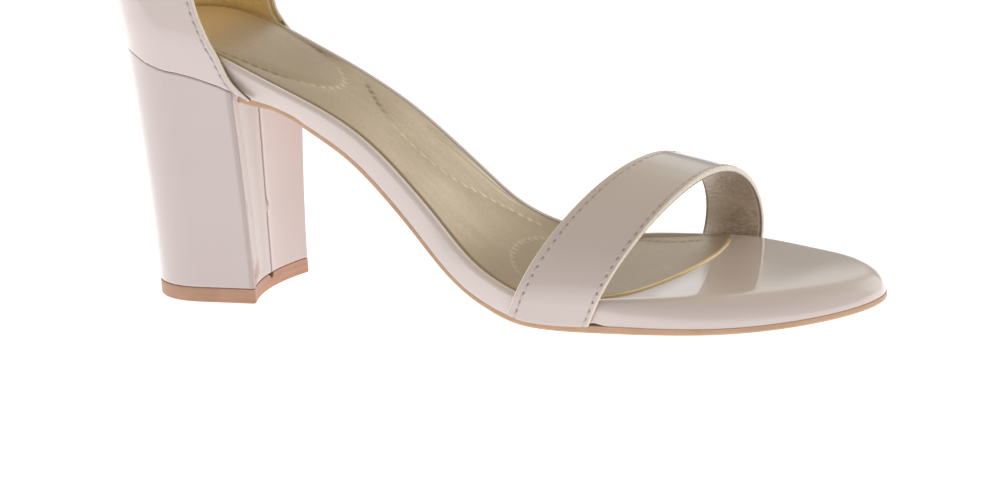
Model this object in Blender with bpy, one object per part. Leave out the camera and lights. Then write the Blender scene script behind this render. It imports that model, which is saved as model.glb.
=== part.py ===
"""Dress sandal with a block heel, a closed heel cup and one wide front strap.

Right shoe. Stations run along the shoe in millimetres from the back of the heel
seat to the toe tip, the lateral side is at negative y, and the floor is z = 0.
"""
from collections import namedtuple

import bmesh
import bpy
import numpy as np

MM = 0.001
LENGTH = 229.0
GAP = 0.3

# Tread line: height of the sole's lower face over the floor at each station.
Tread = namedtuple("Tread", "station height")
TREAD = (
    Tread(0, 75.0),
    Tread(20, 72.0),
    Tread(45, 61.0),
    Tread(70, 47.0),
    Tread(90, 29.5),
    Tread(105, 15.0),
    Tread(118, 7.0),
    Tread(132, 1.0),
    Tread(146, 0.0),
    Tread(188, 0.0),
    Tread(229, 1.5),
)

# Plan of the last: half widths from the centre line to either side.
Plan = namedtuple("Plan", "station lateral medial")
PLAN = (
    Plan(20, 23.5, 24.0),
    Plan(45, 23.5, 23.5),
    Plan(70, 21.5, 22.0),
    Plan(95, 26.5, 23.0),
    Plan(120, 36.0, 30.0),
    Plan(145, 38.0, 42.0),
    Plan(165, 38.0, 42.5),
)
HEEL_ROUND_POWER = 2.2
TOE_POWER = {-1: 2.3, 1: 1.5}
TOE_FULLNESS = {-1: 0.5, 1: 0.54}
TOE_SWING = 2.5
TOE_SWING_START = 150.0

# Sole and footbed, measured square to the tread line.
OUTSOLE_THICKNESS = 2.0
OUTSOLE_PROUD = 0.2
OUTSOLE_EDGE = 0.4
RAND_INSET = 0.4
RAND_ROUND = 2.6
SEAT_RISE_START = 12.0
Thickness = namedtuple("Thickness", "station top")
FOOTBED_TOP = (
    Thickness(0, 7.8),
    Thickness(110, 7.8),
    Thickness(145, 8.4),
    Thickness(185, 9.4),
    Thickness(229, 9.0),
)
SOCK_THICKNESS = 0.9
SOCK_INSET = 2.8
SOCK_FRONT = 170.5
SOCK_FRONT_SWEEP = 12.0
SOCK_FRONT_PIVOT = 15.0
SOCK_FRONT_REACH = 51.4
SOCK_FRONT_POWER = 4

# Front strap: one row for each edge of the band, an arch from side to side.
StrapEdge = namedtuple("StrapEdge", "lateral medial rise bow twist")
STRAP_BACK = StrapEdge(131.0, 158.5, 33.5, 13.0, 1.5)
STRAP_FRONT = StrapEdge(157.0, 177.5, 29.5, 10.0, 2.5)
STRAP_WALL = 1.9
STRAP_SKIVED = 1.2
STRAP_SPRING = 9.4
STRAP_EDGE_ROUND = 0.5

# Heel cup: how the wall leaves the seat outline, by height over the seat.
Cup = namedtuple("Cup", "height back inward front")
CUP = (
    Cup(0, 0.0, 0.0, 45.5),
    Cup(1.5, 0.1, 0.0, 41.6),
    Cup(3, 0.3, 0.0, 39.4),
    Cup(5.5, 0.6, 0.0, 37.6),
    Cup(8.5, 1.0, 0.1, 35.8),
    Cup(11, 1.4, 0.4, 34.2),
    Cup(15, 1.9, 0.9, 32.4),
    Cup(19.5, 2.4, 1.6, 31.0),
    Cup(24, 2.6, 2.1, 30.2),
    Cup(32, 2.6, 2.6, 29.6),
    Cup(40, 2.1, 3.0, 29.4),
    Cup(48, 1.3, 3.1, 29.0),
    Cup(52, 0.8, 3.2, 27.6),
    Cup(54.5, 0.4, 3.2, 25.0),
    Cup(56, 0.2, 3.2, 21.0),
)
CUP_WALL = 2.0

# Block heel and its top piece.
BREAST_STATION = 39.5
BREAST_HOLLOW = 3.6
BREAST_CORNER = 1.2
HEEL_FOOT_BACK = 1.2
HEEL_FOOT_WIDTH = 38.6
HEEL_FOOT_SHIFT = -1.5
HEEL_FLARE_POWER = 1.5
TIP_THICKNESS = 4.5
TIP_EDGE = 0.5

# Mesh resolution.
TABLE_STEP = 0.5
SMOOTH_SPAN = 17
DENSE = 1600
SIDE_POINTS = 72
EDGE_POINTS = 7
STRAP_STEPS = 44
STRAP_COLUMNS = 7
CUP_SIDE_POINTS = 17
HEEL_SIDE_POINTS = 20
HEEL_LEVELS = 8
ROUND_STEPS = 5
STRAIGHT_STEPS = 3
SHARP_ANGLE = 35

COLOURS = {
    "patent": ((0.66, 0.55, 0.50, 1.0), 0.12, 0.0),
    "heel_patent": ((0.68, 0.56, 0.52, 1.0), 0.12, 0.0),
    "strap_patent": ((0.60, 0.49, 0.43, 1.0), 0.12, 0.0),
    "cup_patent": ((0.65, 0.54, 0.49, 1.0), 0.14, 0.0),
    "sole_tan": ((0.55, 0.33, 0.20, 1.0), 0.55, 0.0),
    "tip_tan": ((0.52, 0.30, 0.18, 1.0), 0.60, 0.0),
    "sock_gold": ((0.52, 0.43, 0.28, 1.0), 0.38, 0.6),
}


def column(rows, name):
    """One named column of a table as an array."""
    return np.array([getattr(row, name) for row in rows], dtype=float)


def hermite(x, y, at):
    """Monotone cubic through the rows, so that a flat stretch stays flat."""
    step = np.diff(x)
    rise = np.diff(y) / step
    same_way = rise[:-1] * rise[1:] > 0
    before = np.where(same_way, rise[:-1], 1.0)
    after = np.where(same_way, rise[1:], 1.0)
    weight_before = step[:-1] + 2 * step[1:]
    weight_after = 2 * step[:-1] + step[1:]
    mean = (weight_before + weight_after) / (weight_before / before + weight_after / after)
    slope = np.concatenate([rise[:1], np.where(same_way, mean, 0.0), rise[-1:]])
    held = np.clip(at, x[0], x[-1])
    k = np.clip(np.searchsorted(x, held, side="right") - 1, 0, len(x) - 2)
    t = (held - x[k]) / step[k]
    inside = (
        y[k] * (1 + 2 * t) * (1 - t) ** 2
        + y[k + 1] * t**2 * (3 - 2 * t)
        + slope[k] * step[k] * t * (1 - t) ** 2
        - slope[k + 1] * step[k] * t**2 * (1 - t)
    )
    outside = np.where(at < x[0], slope[0], slope[-1]) * (at - held)
    return inside + outside


class Curve:
    """A smooth curve through the rows of a table, rounded over a few millimetres."""

    def __init__(self, rows, name):
        x = column(rows, "station")
        reach = SMOOTH_SPAN * TABLE_STEP * 2
        self.grid = np.arange(x[0] - reach, x[-1] + reach, TABLE_STEP)
        values = hermite(x, column(rows, name), self.grid)
        window = np.ones(SMOOTH_SPAN) / SMOOTH_SPAN
        for _ in range(2):
            values = np.pad(values, SMOOTH_SPAN // 2, mode="edge")
            values = np.convolve(values, window, mode="valid")
        self.values = values

    def __call__(self, at):
        return np.interp(at, self.grid, self.values)


tread = Curve(TREAD, "height")
half_plan = {-1: Curve(PLAN, "lateral"), 1: Curve(PLAN, "medial")}
footbed_top = Curve(FOOTBED_TOP, "top")


def half_width(s, side):
    """Half width of the last, rounded at the heel seat and drawn in to the toe."""
    first, last = PLAN[0].station, PLAN[-1].station
    width = half_plan[side](np.clip(s, first, last))
    heel = np.clip((first - s) / first, 0, 1)
    toe = np.clip((s - last) / (LENGTH - last), 0, 1)
    heel_round = np.sqrt(1 - heel**HEEL_ROUND_POWER)
    return width * heel_round * (1 - toe ** TOE_POWER[side]) ** TOE_FULLNESS[side]


def toe_swing(s):
    """The toe tip leans a little to the medial side."""
    return TOE_SWING * np.clip((s - TOE_SWING_START) / (LENGTH - TOE_SWING_START), 0, 1) ** 2


def last_side(side, outward):
    """One side of the last's plan, heel to toe, moved outward square to itself."""
    turn = np.linspace(0, np.pi, DENSE)
    s = LENGTH * (1 - np.cos(turn)) / 2
    y = side * half_width(s, side) + toe_swing(s)
    along_s, along_y = np.gradient(s), np.gradient(y)
    along_s[[0, -1]] = 0.0
    size = np.hypot(along_s, along_y)
    return s - side * outward * along_y / size, y + side * outward * along_s / size


def spaced(s, y, count):
    """The same path with its points spread evenly along it."""
    run = np.concatenate([[0.0], np.cumsum(np.hypot(np.diff(s), np.diff(y)))])
    at = np.linspace(0, run[-1], count)
    return np.stack([np.interp(at, run, s), np.interp(at, run, y)], axis=1)


def side_run(side, outward, start, end, count):
    """Even points on one side of the plan between two stations."""
    s, y = last_side(side, outward)
    ends = np.interp([start, end], s, np.arange(DENSE))
    index = np.linspace(ends[0], ends[1], DENSE)
    steps = np.arange(DENSE)
    return spaced(np.interp(index, steps, s), np.interp(index, steps, y), count)


def closed(one_half, other_half):
    """A closed outline from two halves of equal count, which share both ends."""
    return np.concatenate([one_half, other_half[-2:0:-1]])


def both_sides(half_outline):
    """A closed outline from its lateral half and its medial half."""
    return closed(half_outline(-1), half_outline(1))


def inset(outline, distance):
    """A closed outline drawn in square to itself."""
    ahead = np.roll(outline, -1, axis=0) - np.roll(outline, 1, axis=0)
    ahead /= np.linalg.norm(ahead, axis=1, keepdims=True)
    return outline + distance * np.stack([-ahead[:, 1], ahead[:, 0]], axis=1)


def tread_slope(s):
    """Slope of the tread line."""
    return (tread(s + TABLE_STEP) - tread(s - TABLE_STEP)) / (2 * TABLE_STEP)


def on_bed(s, y, height):
    """Points over the tread line, lifted square to it."""
    slope = tread_slope(s)
    size = np.hypot(1, slope)
    return np.stack([s - slope / size * height, y, tread(s) + height / size], axis=-1)


def above_bed(s, y, height):
    """Points straight above the tread line, as far from it as on_bed puts them."""
    return np.stack([s, y, tread(s) + height * np.hypot(1, tread_slope(s))], axis=-1)


def seat_height(s):
    """Top of what carries the footbed: the heel at the seat, the outsole before it."""
    full = BREAST_STATION - BREAST_HOLLOW
    return OUTSOLE_THICKNESS * np.clip((s - SEAT_RISE_START) / (full - SEAT_RISE_START), 0, 1)


def breast(y, half):
    """Station of the hollowed heel breast across the heel."""
    return BREAST_STATION - BREAST_HOLLOW * (1 - (y / half) ** 2)


def material(name):
    """A Principled material in the piece's own colour."""
    colour, roughness, metallic = COLOURS[name]
    made = bpy.data.materials.new(name)
    made.use_nodes = True
    shader = made.node_tree.nodes["Principled BSDF"]
    shader.inputs["Base Color"].default_value = colour
    shader.inputs["Roughness"].default_value = roughness
    shader.inputs["Metallic"].default_value = metallic
    made.diffuse_color = colour
    return made


def loft(name, rings, shares_ends, finish, parent):
    """A closed body through rings of equal count, with its two ends closed by strips.

    Where the halves of a ring share their end points, point i faces point -i;
    otherwise it faces the point as far from the ring's other end.
    """
    count = len(rings[0])
    body = bmesh.new()
    verts = [[body.verts.new(point * MM) for point in ring] for ring in rings]
    for lower, upper in zip(verts, verts[1:]):
        for i in range(count):
            j = (i + 1) % count
            body.faces.new((lower[i], lower[j], upper[j], upper[i]))
    for ring in (verts[0], verts[-1]):
        for i in range(count // 2 - (0 if shares_ends else 1)):
            facing = ring[-i - 1] if shares_ends else ring[-i - 2]
            other = ring[-i % count] if shares_ends else ring[-i - 1]
            corners = dict.fromkeys((ring[i], ring[i + 1], facing, other))
            body.faces.new(tuple(corners))
    bmesh.ops.recalc_face_normals(body, faces=body.faces)
    mesh = bpy.data.meshes.new(name)
    body.to_mesh(mesh)
    body.free()
    mesh.shade_smooth()
    mesh.set_sharp_from_angle(angle=np.radians(SHARP_ANGLE))
    mesh.materials.append(material(finish))
    piece = bpy.data.objects.new(name, mesh)
    bpy.context.collection.objects.link(piece)
    piece.parent = parent
    return piece


def plate(name, outline, levels, finish, parent):
    """A plate that follows the tread line, from rings of inset and height."""
    rings = []
    for distance, height in levels:
        s, y = inset(outline, distance).T
        rings.append(on_bed(s, y, height(s)))
    return loft(name, rings, True, finish, parent)


def outsole_half(side):
    """Half outline of the outsole: the heel breast, then the side to the toe."""
    start = BREAST_STATION + GAP
    run = side_run(side, OUTSOLE_PROUD, start, LENGTH + OUTSOLE_PROUD, SIDE_POINTS)
    y = np.linspace(0, run[0, 1], EDGE_POINTS)
    edge = np.stack([breast(y, abs(run[0, 1])) + GAP, y], axis=1)
    return np.concatenate([edge[:-1], run])


def make_outsole(parent):
    """Thin sole from the heel breast to the toe, its lower edges broken."""
    levels = [
        (OUTSOLE_EDGE, lambda s: 0 * s),
        (0.0, lambda s: OUTSOLE_EDGE + 0 * s),
        (0.0, lambda s: OUTSOLE_THICKNESS + 0 * s),
    ]
    return plate("outsole", both_sides(outsole_half), levels, "sole_tan", parent)


def make_footbed(parent):
    """Wrapped platform: a straight rand that rolls over into the top face."""
    def half(side):
        return side_run(side, -RAND_INSET, RAND_INSET, LENGTH - RAND_INSET, SIDE_POINTS)

    levels = [(0.0, lambda s: seat_height(s) + GAP)]
    for turn in np.linspace(0, np.pi / 2, ROUND_STEPS + 1):
        drop = RAND_ROUND * (1 - np.sin(turn))
        levels.append((
            RAND_ROUND * (1 - np.cos(turn)),
            lambda s, drop=drop: footbed_top(s) - drop,
        ))
    return plate("footbed", both_sides(half), levels, "patent", parent)


def sock_front(y):
    """Station of the sock's front edge, swept back towards the lateral side."""
    away = np.clip(SOCK_FRONT_PIVOT - y, 0, None) / SOCK_FRONT_REACH
    return SOCK_FRONT - SOCK_FRONT_SWEEP * away**SOCK_FRONT_POWER


def sock_half(side):
    """Half outline of the sock: the side from the heel, then its front edge."""
    outward = -RAND_INSET - SOCK_INSET
    s, y = last_side(side, outward)
    end = s[np.argmax((s > sock_front(y)) & (s > PLAN[-2].station))]
    run = side_run(side, outward, -outward, end, SIDE_POINTS)
    across = np.linspace(run[-1, 1], 0, EDGE_POINTS)
    edge = np.stack([sock_front(across), across], axis=1)
    return np.concatenate([run[:-1], edge])


def make_sock(parent):
    """Thin metallic sock on the footbed."""
    levels = [
        (0.0, lambda s: footbed_top(s) + GAP),
        (0.0, lambda s: footbed_top(s) + GAP + SOCK_THICKNESS),
    ]
    return plate("sock_lining", both_sides(sock_half), levels, "sock_gold", parent)


def strap_row(across):
    """The strap's sizes at a share of its width, between its two edges."""
    pairs = zip(STRAP_BACK, STRAP_FRONT)
    return StrapEdge(*[back + (front - back) * across for back, front in pairs])


def strap_feet(row):
    """Stations where the band's two ends meet the outsole, which lean back from the spring line."""
    drop = (STRAP_SPRING - OUTSOLE_THICKNESS - GAP) / row.rise
    lateral = row.lateral - drop * (row.bow + 2 * row.twist)
    medial = row.medial - drop * (row.bow - 2 * row.twist)
    return lateral, medial


def strap_reach(side, spring, foot):
    """How far out the band's inner face runs beside the rand, clear of it all the way down."""
    stations = np.array([spring, foot])
    return np.max(half_width(stations, side) + side * toe_swing(stations))


def strap_point(across, turn, depth):
    """Points of the strap at a share of its width, angles of its arch and a depth of its wall.

    Both edges are half ellipses that bow forward over the toes. Below the spring
    line the band runs straight down beside the rand, and its wall is skived there.
    """
    row = strap_row(across)
    lateral, medial, rise, bow, twist = row
    feet = strap_feet(row)
    held = np.clip(turn, 0, np.pi)
    below = np.abs(turn - held)
    skived = below * rise / (STRAP_SPRING - OUTSOLE_THICKNESS - GAP)
    wall = STRAP_WALL + (STRAP_SKIVED - STRAP_WALL) * skived
    out = wall * (1 - depth)
    near = strap_reach(-1, lateral, feet[0]) + out
    far = strap_reach(1, medial, feet[1]) + out
    x = lateral + (medial - lateral) * (1 - np.cos(held)) / 2
    x = x + bow * np.sin(held) + twist * np.sin(2 * held)
    x = x - below * np.where(turn < 0, bow + 2 * twist, bow - 2 * twist)
    y = (far - near) / 2 - (far + near) / 2 * np.cos(held)
    z = STRAP_SPRING + (rise - wall * depth) * np.sin(held) - below * rise
    return np.stack(np.broadcast_arrays(x, y, z), axis=-1)


def strap_turns(across):
    """Angles along the arch from one foot of the band on the outsole to the other."""
    row = strap_row(across)
    seats = [above_bed(foot, 0.0, OUTSOLE_THICKNESS + GAP)[2] for foot in strap_feet(row)]
    straight = [(STRAP_SPRING - seat) / row.rise for seat in seats]
    return np.concatenate([
        np.linspace(-straight[0], 0, STRAIGHT_STEPS)[:-1],
        np.linspace(0, np.pi, STRAP_STEPS),
        np.linspace(np.pi, np.pi + straight[1], STRAIGHT_STEPS)[1:],
    ])


def make_strap(parent):
    """Arched band whose wall has its real thickness and slightly rounded edges."""
    width = STRAP_FRONT.lateral - STRAP_BACK.lateral
    round_share = STRAP_EDGE_ROUND / width
    round_depth = STRAP_EDGE_ROUND / STRAP_WALL
    middle = np.linspace(round_share, 1 - round_share, STRAP_COLUMNS)
    shares = np.concatenate([[0.0], middle, [1.0], [1.0], middle[::-1], [0.0]])
    flat = np.zeros(STRAP_COLUMNS)
    depths = np.concatenate([
        [round_depth], flat, [round_depth],
        [1 - round_depth], 1 + flat, [1 - round_depth],
    ])
    columns = []
    for share, depth in zip(shares, depths):
        columns.append(strap_point(share, strap_turns(share), depth))
    rings = list(np.stack(columns, axis=1))
    return loft("front_strap", rings, False, "strap_patent", parent)


def cup_wall():
    """Outer face of the heel cup: rows of height, each a path round the heel."""
    base_back = -CUP_WALL
    rows = []
    for row in CUP:
        shrink = (BREAST_STATION + row.back - base_back) / (BREAST_STATION - base_back)
        front = BREAST_STATION - (BREAST_STATION - row.front) / shrink
        halves = []
        for side in (-1, 1):
            path = side_run(side, CUP_WALL, base_back, front, CUP_SIDE_POINTS)
            s, y = path.T
            narrow = 1 - row.inward / np.abs(y).max()
            foot = above_bed(s, y, seat_height(s) + GAP)
            foot[:, 0] = BREAST_STATION - (BREAST_STATION - foot[:, 0]) * shrink
            foot[:, 1] *= narrow
            foot[:, 2] += row.height
            halves.append(foot)
        rows.append(np.concatenate([halves[0][:0:-1], halves[1]]))
    return np.stack(rows)


def make_counter(parent):
    """Heel cup: one wall round the seat, open on top, in front and underneath."""
    outer = cup_wall()
    around = np.gradient(outer, axis=1)
    upward = np.gradient(outer, axis=0)
    inward = np.cross(around, upward)
    inward /= np.linalg.norm(inward, axis=2, keepdims=True)
    inward[0, :, 2] = 0.0
    inner = outer + CUP_WALL * inward
    rings = [
        np.concatenate([outer[:, k], inner[::-1, k]]) for k in range(outer.shape[1])
    ]
    return loft("heel_counter", rings, False, "cup_patent", parent)


def heel_outline():
    """Outline of the heel's top: round the back from corner to corner, then the breast."""
    corner = BREAST_STATION - BREAST_CORNER
    lateral = side_run(-1, CUP_WALL, -CUP_WALL, corner, HEEL_SIDE_POINTS)
    medial = side_run(1, CUP_WALL, -CUP_WALL, corner, HEEL_SIDE_POINTS)
    back = np.concatenate([medial[::-1], lateral[1:]])
    high, low = back[0, 1] - BREAST_CORNER, back[-1, 1] + BREAST_CORNER
    across = np.linspace(high, low, len(back) - 2)
    hollow = breast(across - (high + low) / 2, (high - low) / 2)
    front = np.concatenate([back[:1], np.stack([hollow, across], axis=1), back[-1:]])
    return closed(back, front)


def heel_foot(outline):
    """The heel's outline drawn in to its foot."""
    s, y = outline.T
    along = (s + CUP_WALL) / (BREAST_STATION + CUP_WALL)
    narrow = HEEL_FOOT_WIDTH / (y.max() - y.min())
    foot_s = HEEL_FOOT_BACK + along * (BREAST_STATION - HEEL_FOOT_BACK)
    return np.stack([foot_s, y * narrow + HEEL_FOOT_SHIFT], axis=1)


def make_heel(parent):
    """Covered block: its top follows the seat, its foot stands on the top piece."""
    outline = heel_outline()
    s, y = outline.T
    top = above_bed(s, y, seat_height(s))
    foot_s, foot_y = heel_foot(outline).T
    foot = np.stack([foot_s, foot_y, TIP_THICKNESS + GAP + 0 * foot_s], axis=1)
    rings = []
    for level in np.linspace(0, 1, HEEL_LEVELS):
        share = np.array([level**HEEL_FLARE_POWER] * 2 + [level])
        rings.append(foot + (top - foot) * share)
    return loft("heel_block", rings, True, "heel_patent", parent)


def make_tip(parent):
    """Top piece under the heel, flat on the floor, its lower edge broken."""
    outline = heel_foot(heel_outline())
    rings = []
    for distance, height in ((TIP_EDGE, 0.0), (0.0, TIP_EDGE), (0.0, TIP_THICKNESS)):
        ring = inset(outline, distance)
        rings.append(np.column_stack([ring, np.full(len(ring), height)]))
    return loft("heel_tip", rings, True, "tip_tan", parent)


def centre_on_floor(root, pieces):
    """Move the shoe so that its box stands centred on the origin."""
    points = np.concatenate([
        np.array([vertex.co for vertex in piece.data.vertices]) for piece in pieces
    ])
    middle = (points.min(axis=0) + points.max(axis=0)) / 2
    root.location = (-middle[0], -middle[1], 0.0)


for leftover in list(bpy.data.objects):
    bpy.data.objects.remove(leftover)
shoe = bpy.data.objects.new("sandal", None)
bpy.context.collection.objects.link(shoe)
makers = (
    make_outsole,
    make_footbed,
    make_sock,
    make_strap,
    make_counter,
    make_heel,
    make_tip,
)
centre_on_floor(shoe, [make(shoe) for make in makers])
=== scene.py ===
from collections import namedtuple

import bmesh
import bpy
import numpy as np
from mathutils import Matrix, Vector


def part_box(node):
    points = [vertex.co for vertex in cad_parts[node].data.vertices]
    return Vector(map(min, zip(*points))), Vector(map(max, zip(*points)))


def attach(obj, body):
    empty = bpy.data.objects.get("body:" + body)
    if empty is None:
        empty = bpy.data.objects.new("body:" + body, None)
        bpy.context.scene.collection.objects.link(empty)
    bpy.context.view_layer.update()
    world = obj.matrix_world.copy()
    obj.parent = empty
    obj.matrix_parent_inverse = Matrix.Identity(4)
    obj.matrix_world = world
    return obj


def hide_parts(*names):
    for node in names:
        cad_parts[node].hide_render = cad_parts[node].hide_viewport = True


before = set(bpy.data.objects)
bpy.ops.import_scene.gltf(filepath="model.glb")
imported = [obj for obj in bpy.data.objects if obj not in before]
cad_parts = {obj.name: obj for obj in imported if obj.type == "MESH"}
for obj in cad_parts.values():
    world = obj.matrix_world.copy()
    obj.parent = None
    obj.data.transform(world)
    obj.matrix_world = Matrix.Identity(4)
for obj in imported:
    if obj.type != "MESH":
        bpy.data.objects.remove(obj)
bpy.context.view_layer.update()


# Camera
# A long lens on the lateral side of the shoe, a little ahead of it and above it,
# turned slightly about its own line of sight.

VIEW_AZIMUTH = np.radians(23.95)
VIEW_ELEVATION = np.radians(14.03)
VIEW_ROLL = np.radians(-4.22)
VIEW_DISTANCE = 1.4966
VIEW_TARGET = np.array([-0.00148, -0.00211, 0.01356])
LENS = 182.98


def placed(name, data, axes, point):
    """A new object in the scene at a point, turned so that its x, y and z run along three axes."""
    made = bpy.data.objects.new(name, data)
    matrix = np.eye(4)
    matrix[:3] = np.column_stack([*axes, point])
    made.matrix_world = Matrix(matrix.tolist())
    bpy.context.scene.collection.objects.link(made)
    return made


def camera_axes(azimuth, elevation, roll):
    """The camera's right, up and back: back lies along the two angles, the others are turned by the roll."""
    right = np.array([np.cos(azimuth), np.sin(azimuth), 0.0])
    back = np.array([
        np.sin(azimuth) * np.cos(elevation),
        -np.cos(azimuth) * np.cos(elevation),
        np.sin(elevation),
    ])
    up = np.cross(back, right)
    across = right * np.cos(roll) + up * np.sin(roll)
    upright = up * np.cos(roll) - right * np.sin(roll)
    return across, upright, back


view_axes = camera_axes(VIEW_AZIMUTH, VIEW_ELEVATION, VIEW_ROLL)
view_point = VIEW_TARGET + VIEW_DISTANCE * view_axes[2]
camera = placed("camera", bpy.data.cameras.new("camera"), view_axes, view_point)
camera.data.lens = LENS
bpy.context.scene.camera = camera


# Outsole
# A thin tan sheet sole, two millimetres thick, cut to the plan of the last.
# It is cemented under the footbed from the heel breast to the toe, its edge trimmed and waxed.

# Sizes are in millimetres. Stations run from the back of the heel's seat to the toe, y to the medial side.
MM = 0.001
GAP = 0.3
LENGTH = 229.0
TABLE_STEP = 0.5
SMOOTH_SPAN = 17
DENSE = 1600


class Table:
    """Sizes by row under named columns, read between the rows along the first column.

    Reading is a monotone cubic: the slope at a row is the harmonic mean of the two chords beside it, or
    zero where they turn. Beyond the end rows it runs on straight.
    """

    def __init__(self, names, *rows):
        self.columns = dict(zip(names.split(), np.array(rows, dtype=float).T))
        self.places = np.array(rows, dtype=float)[:, 0]

    def read(self, name, at):
        """One column at any places along the first."""
        x, y = self.places, self.columns[name]
        step = np.diff(x)
        rise = np.diff(y) / step
        same_way = rise[:-1] * rise[1:] > 0
        before = np.where(same_way, rise[:-1], 1.0)
        after = np.where(same_way, rise[1:], 1.0)
        weight_before = step[:-1] + 2 * step[1:]
        weight_after = 2 * step[:-1] + step[1:]
        mean = (weight_before + weight_after) / (weight_before / before + weight_after / after)
        slope = np.concatenate([rise[:1], np.where(same_way, mean, 0.0), rise[-1:]])
        held = np.clip(at, x[0], x[-1])
        k = np.clip(np.searchsorted(x, held, side="right") - 1, 0, len(x) - 2)
        t = (held - x[k]) / step[k]
        inside = (
            y[k] * (1 + 2 * t) * (1 - t) ** 2
            + y[k + 1] * t**2 * (3 - 2 * t)
            + slope[k] * step[k] * t * (1 - t) ** 2
            - slope[k + 1] * step[k] * t**2 * (1 - t)
        )
        return inside + np.where(at < x[0], slope[0], slope[-1]) * (at - held)

    def smooth(self, name):
        """One column as a softer line: its cubic averaged twice over a short span, on a fine grid."""
        reach = SMOOTH_SPAN * TABLE_STEP * 2
        grid = np.arange(self.places[0] - reach, self.places[-1] + reach, TABLE_STEP)
        values = self.read(name, grid)
        window = np.ones(SMOOTH_SPAN) / SMOOTH_SPAN
        for _ in range(2):
            values = np.convolve(np.pad(values, SMOOTH_SPAN // 2, mode="edge"), window, mode="valid")
        return lambda at: np.interp(at, grid, values)


# The line under the whole shoe, from the heel's seat down the arch to the tread and up the toe spring.
TREAD = Table(
    "station height",
    (0, 75.0), (20, 72.0), (45, 61.0), (70, 47.0), (90, 29.5), (105, 15.0), (118, 7.0), (132, 1.0),
    (146, 0.0), (188, 0.0), (229, 1.5),
)

# The plan of the last: its half widths to either side.
PLAN = Table(
    "station lateral medial",
    (20, 23.5, 24.0), (45, 23.5, 23.5), (70, 21.5, 22.0), (95, 26.5, 23.0), (120, 36.0, 30.0),
    (145, 38.0, 42.0), (165, 38.0, 42.5),
)
HEEL_ROUND_POWER = 2.2
TOE_POWER = {-1: 2.3, 1: 1.5}
TOE_FULLNESS = {-1: 0.5, 1: 0.54}
TOE_SWING = 2.5
TOE_SWING_START = 150.0

OUTSOLE_THICKNESS = 2.0
OUTSOLE_PROUD = 0.2
OUTSOLE_EDGE = 0.8
OUTSOLE_ARRIS = np.radians(50)
OUTSOLE_TRIM = 0.45
SHANK_TRIM = 0.75
ARCH_FADE = (130.0, 165.0)
BREAST_STATION = 39.5
BREAST_HOLLOW = 3.6
OUTSOLE_ROWS = 300
BREAST_ROWS = 24
EDGE_STEPS = 5
SOLE_ACROSS = 16
SOLE_TAN = (0.67, 0.43, 0.285)
SOLE_TAN_DARK = (0.57, 0.345, 0.215)

# The outsole's two faces over the tread line: it is skived under the arch and springs up to the heel.
SHANK = Table(
    "station bottom top",
    (36, -1.1, 0.5), (41, -1.1, 0.5), (43.5, -0.7, 1.2), (47, 0.3, 2.1), (51, 1.4, 2.75), (55.4, 1.5, 2.95),
    (60.6, 0.85, 2.3), (66, 0.4, 1.95), (85, 0.05, 1.65), (112, -0.35, 1.05), (125, -0.2, 1.45),
    (142, 0.0, 2.2), (158, 0.0, 2.25), (178, 0.0, 1.95), (200, 0.0, 1.8), (229, 0.0, 1.8),
)

tread = TREAD.smooth("height")
half_plan = {-1: PLAN.smooth("lateral"), 1: PLAN.smooth("medial")}


def half_width(s, side):
    """Half width of the last: the plan table, rounded at the heel and drawn in to the toe by power laws."""
    first, last = PLAN.places[[0, -1]]
    width = half_plan[side](np.clip(s, first, last))
    heel = np.clip((first - s) / first, 0, 1)
    toe = np.clip((s - last) / (LENGTH - last), 0, 1)
    heel_round = np.sqrt(1 - heel**HEEL_ROUND_POWER)
    return width * heel_round * (1 - toe ** TOE_POWER[side]) ** TOE_FULLNESS[side]


def toe_swing(s):
    """Lean of the toe to the medial side, growing with the square of the way to the tip."""
    return TOE_SWING * np.clip((s - TOE_SWING_START) / (LENGTH - TOE_SWING_START), 0, 1) ** 2


def last_side(side, outward):
    """One side of the last's plan from heel to toe, each point moved outward along the line's normal."""
    s = LENGTH * (1 - np.cos(np.linspace(0, np.pi, DENSE))) / 2
    y = side * half_width(s, side) + toe_swing(s)
    along_s, along_y = np.gradient(s), np.gradient(y)
    along_s[[0, -1]] = 0.0
    size = np.hypot(along_s, along_y)
    return s - side * outward * along_y / size, y + side * outward * along_s / size


def even(path, count):
    """The same path with its points spread evenly along its length."""
    run = np.concatenate([[0.0], np.cumsum(np.linalg.norm(np.diff(path, axis=0), axis=1))])
    at = np.linspace(0, run[-1], count)
    return np.stack([np.interp(at, run, axis) for axis in path.T], axis=1)


def side_run(side, outward, start, end, count):
    """Even points on one side of the plan between two stations."""
    s, y = last_side(side, outward)
    steps = np.arange(DENSE)
    ends = np.interp([start, end], s, steps)
    index = np.linspace(ends[0], ends[1], DENSE)
    return even(np.stack([np.interp(index, steps, s), np.interp(index, steps, y)], axis=1), count)


def closed(one_half, other_half):
    """A closed outline from two halves of equal count, which share both ends."""
    return np.concatenate([one_half, other_half[-2:0:-1]])


def unit(vectors):
    """Vectors brought to a length of one."""
    return vectors / np.linalg.norm(vectors, axis=-1, keepdims=True)


def inset(outline, distance):
    """A closed outline drawn in square to itself."""
    ahead = unit(np.roll(outline, -1, axis=0) - np.roll(outline, 1, axis=0))
    return outline + distance * np.stack([-ahead[:, 1], ahead[:, 0]], axis=1)


def tread_slope(s):
    """Slope of the tread line over one table step to either side."""
    return (tread(s + TABLE_STEP) - tread(s - TABLE_STEP)) / (2 * TABLE_STEP)


def on_bed(s, y, height):
    """Points over the tread line, lifted square to it."""
    slope = tread_slope(s)
    size = np.hypot(1, slope)
    return np.stack([s - slope / size * height, y, tread(s) + height / size], axis=-1)


Level = namedtuple("Level", "inset share offset")


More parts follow.
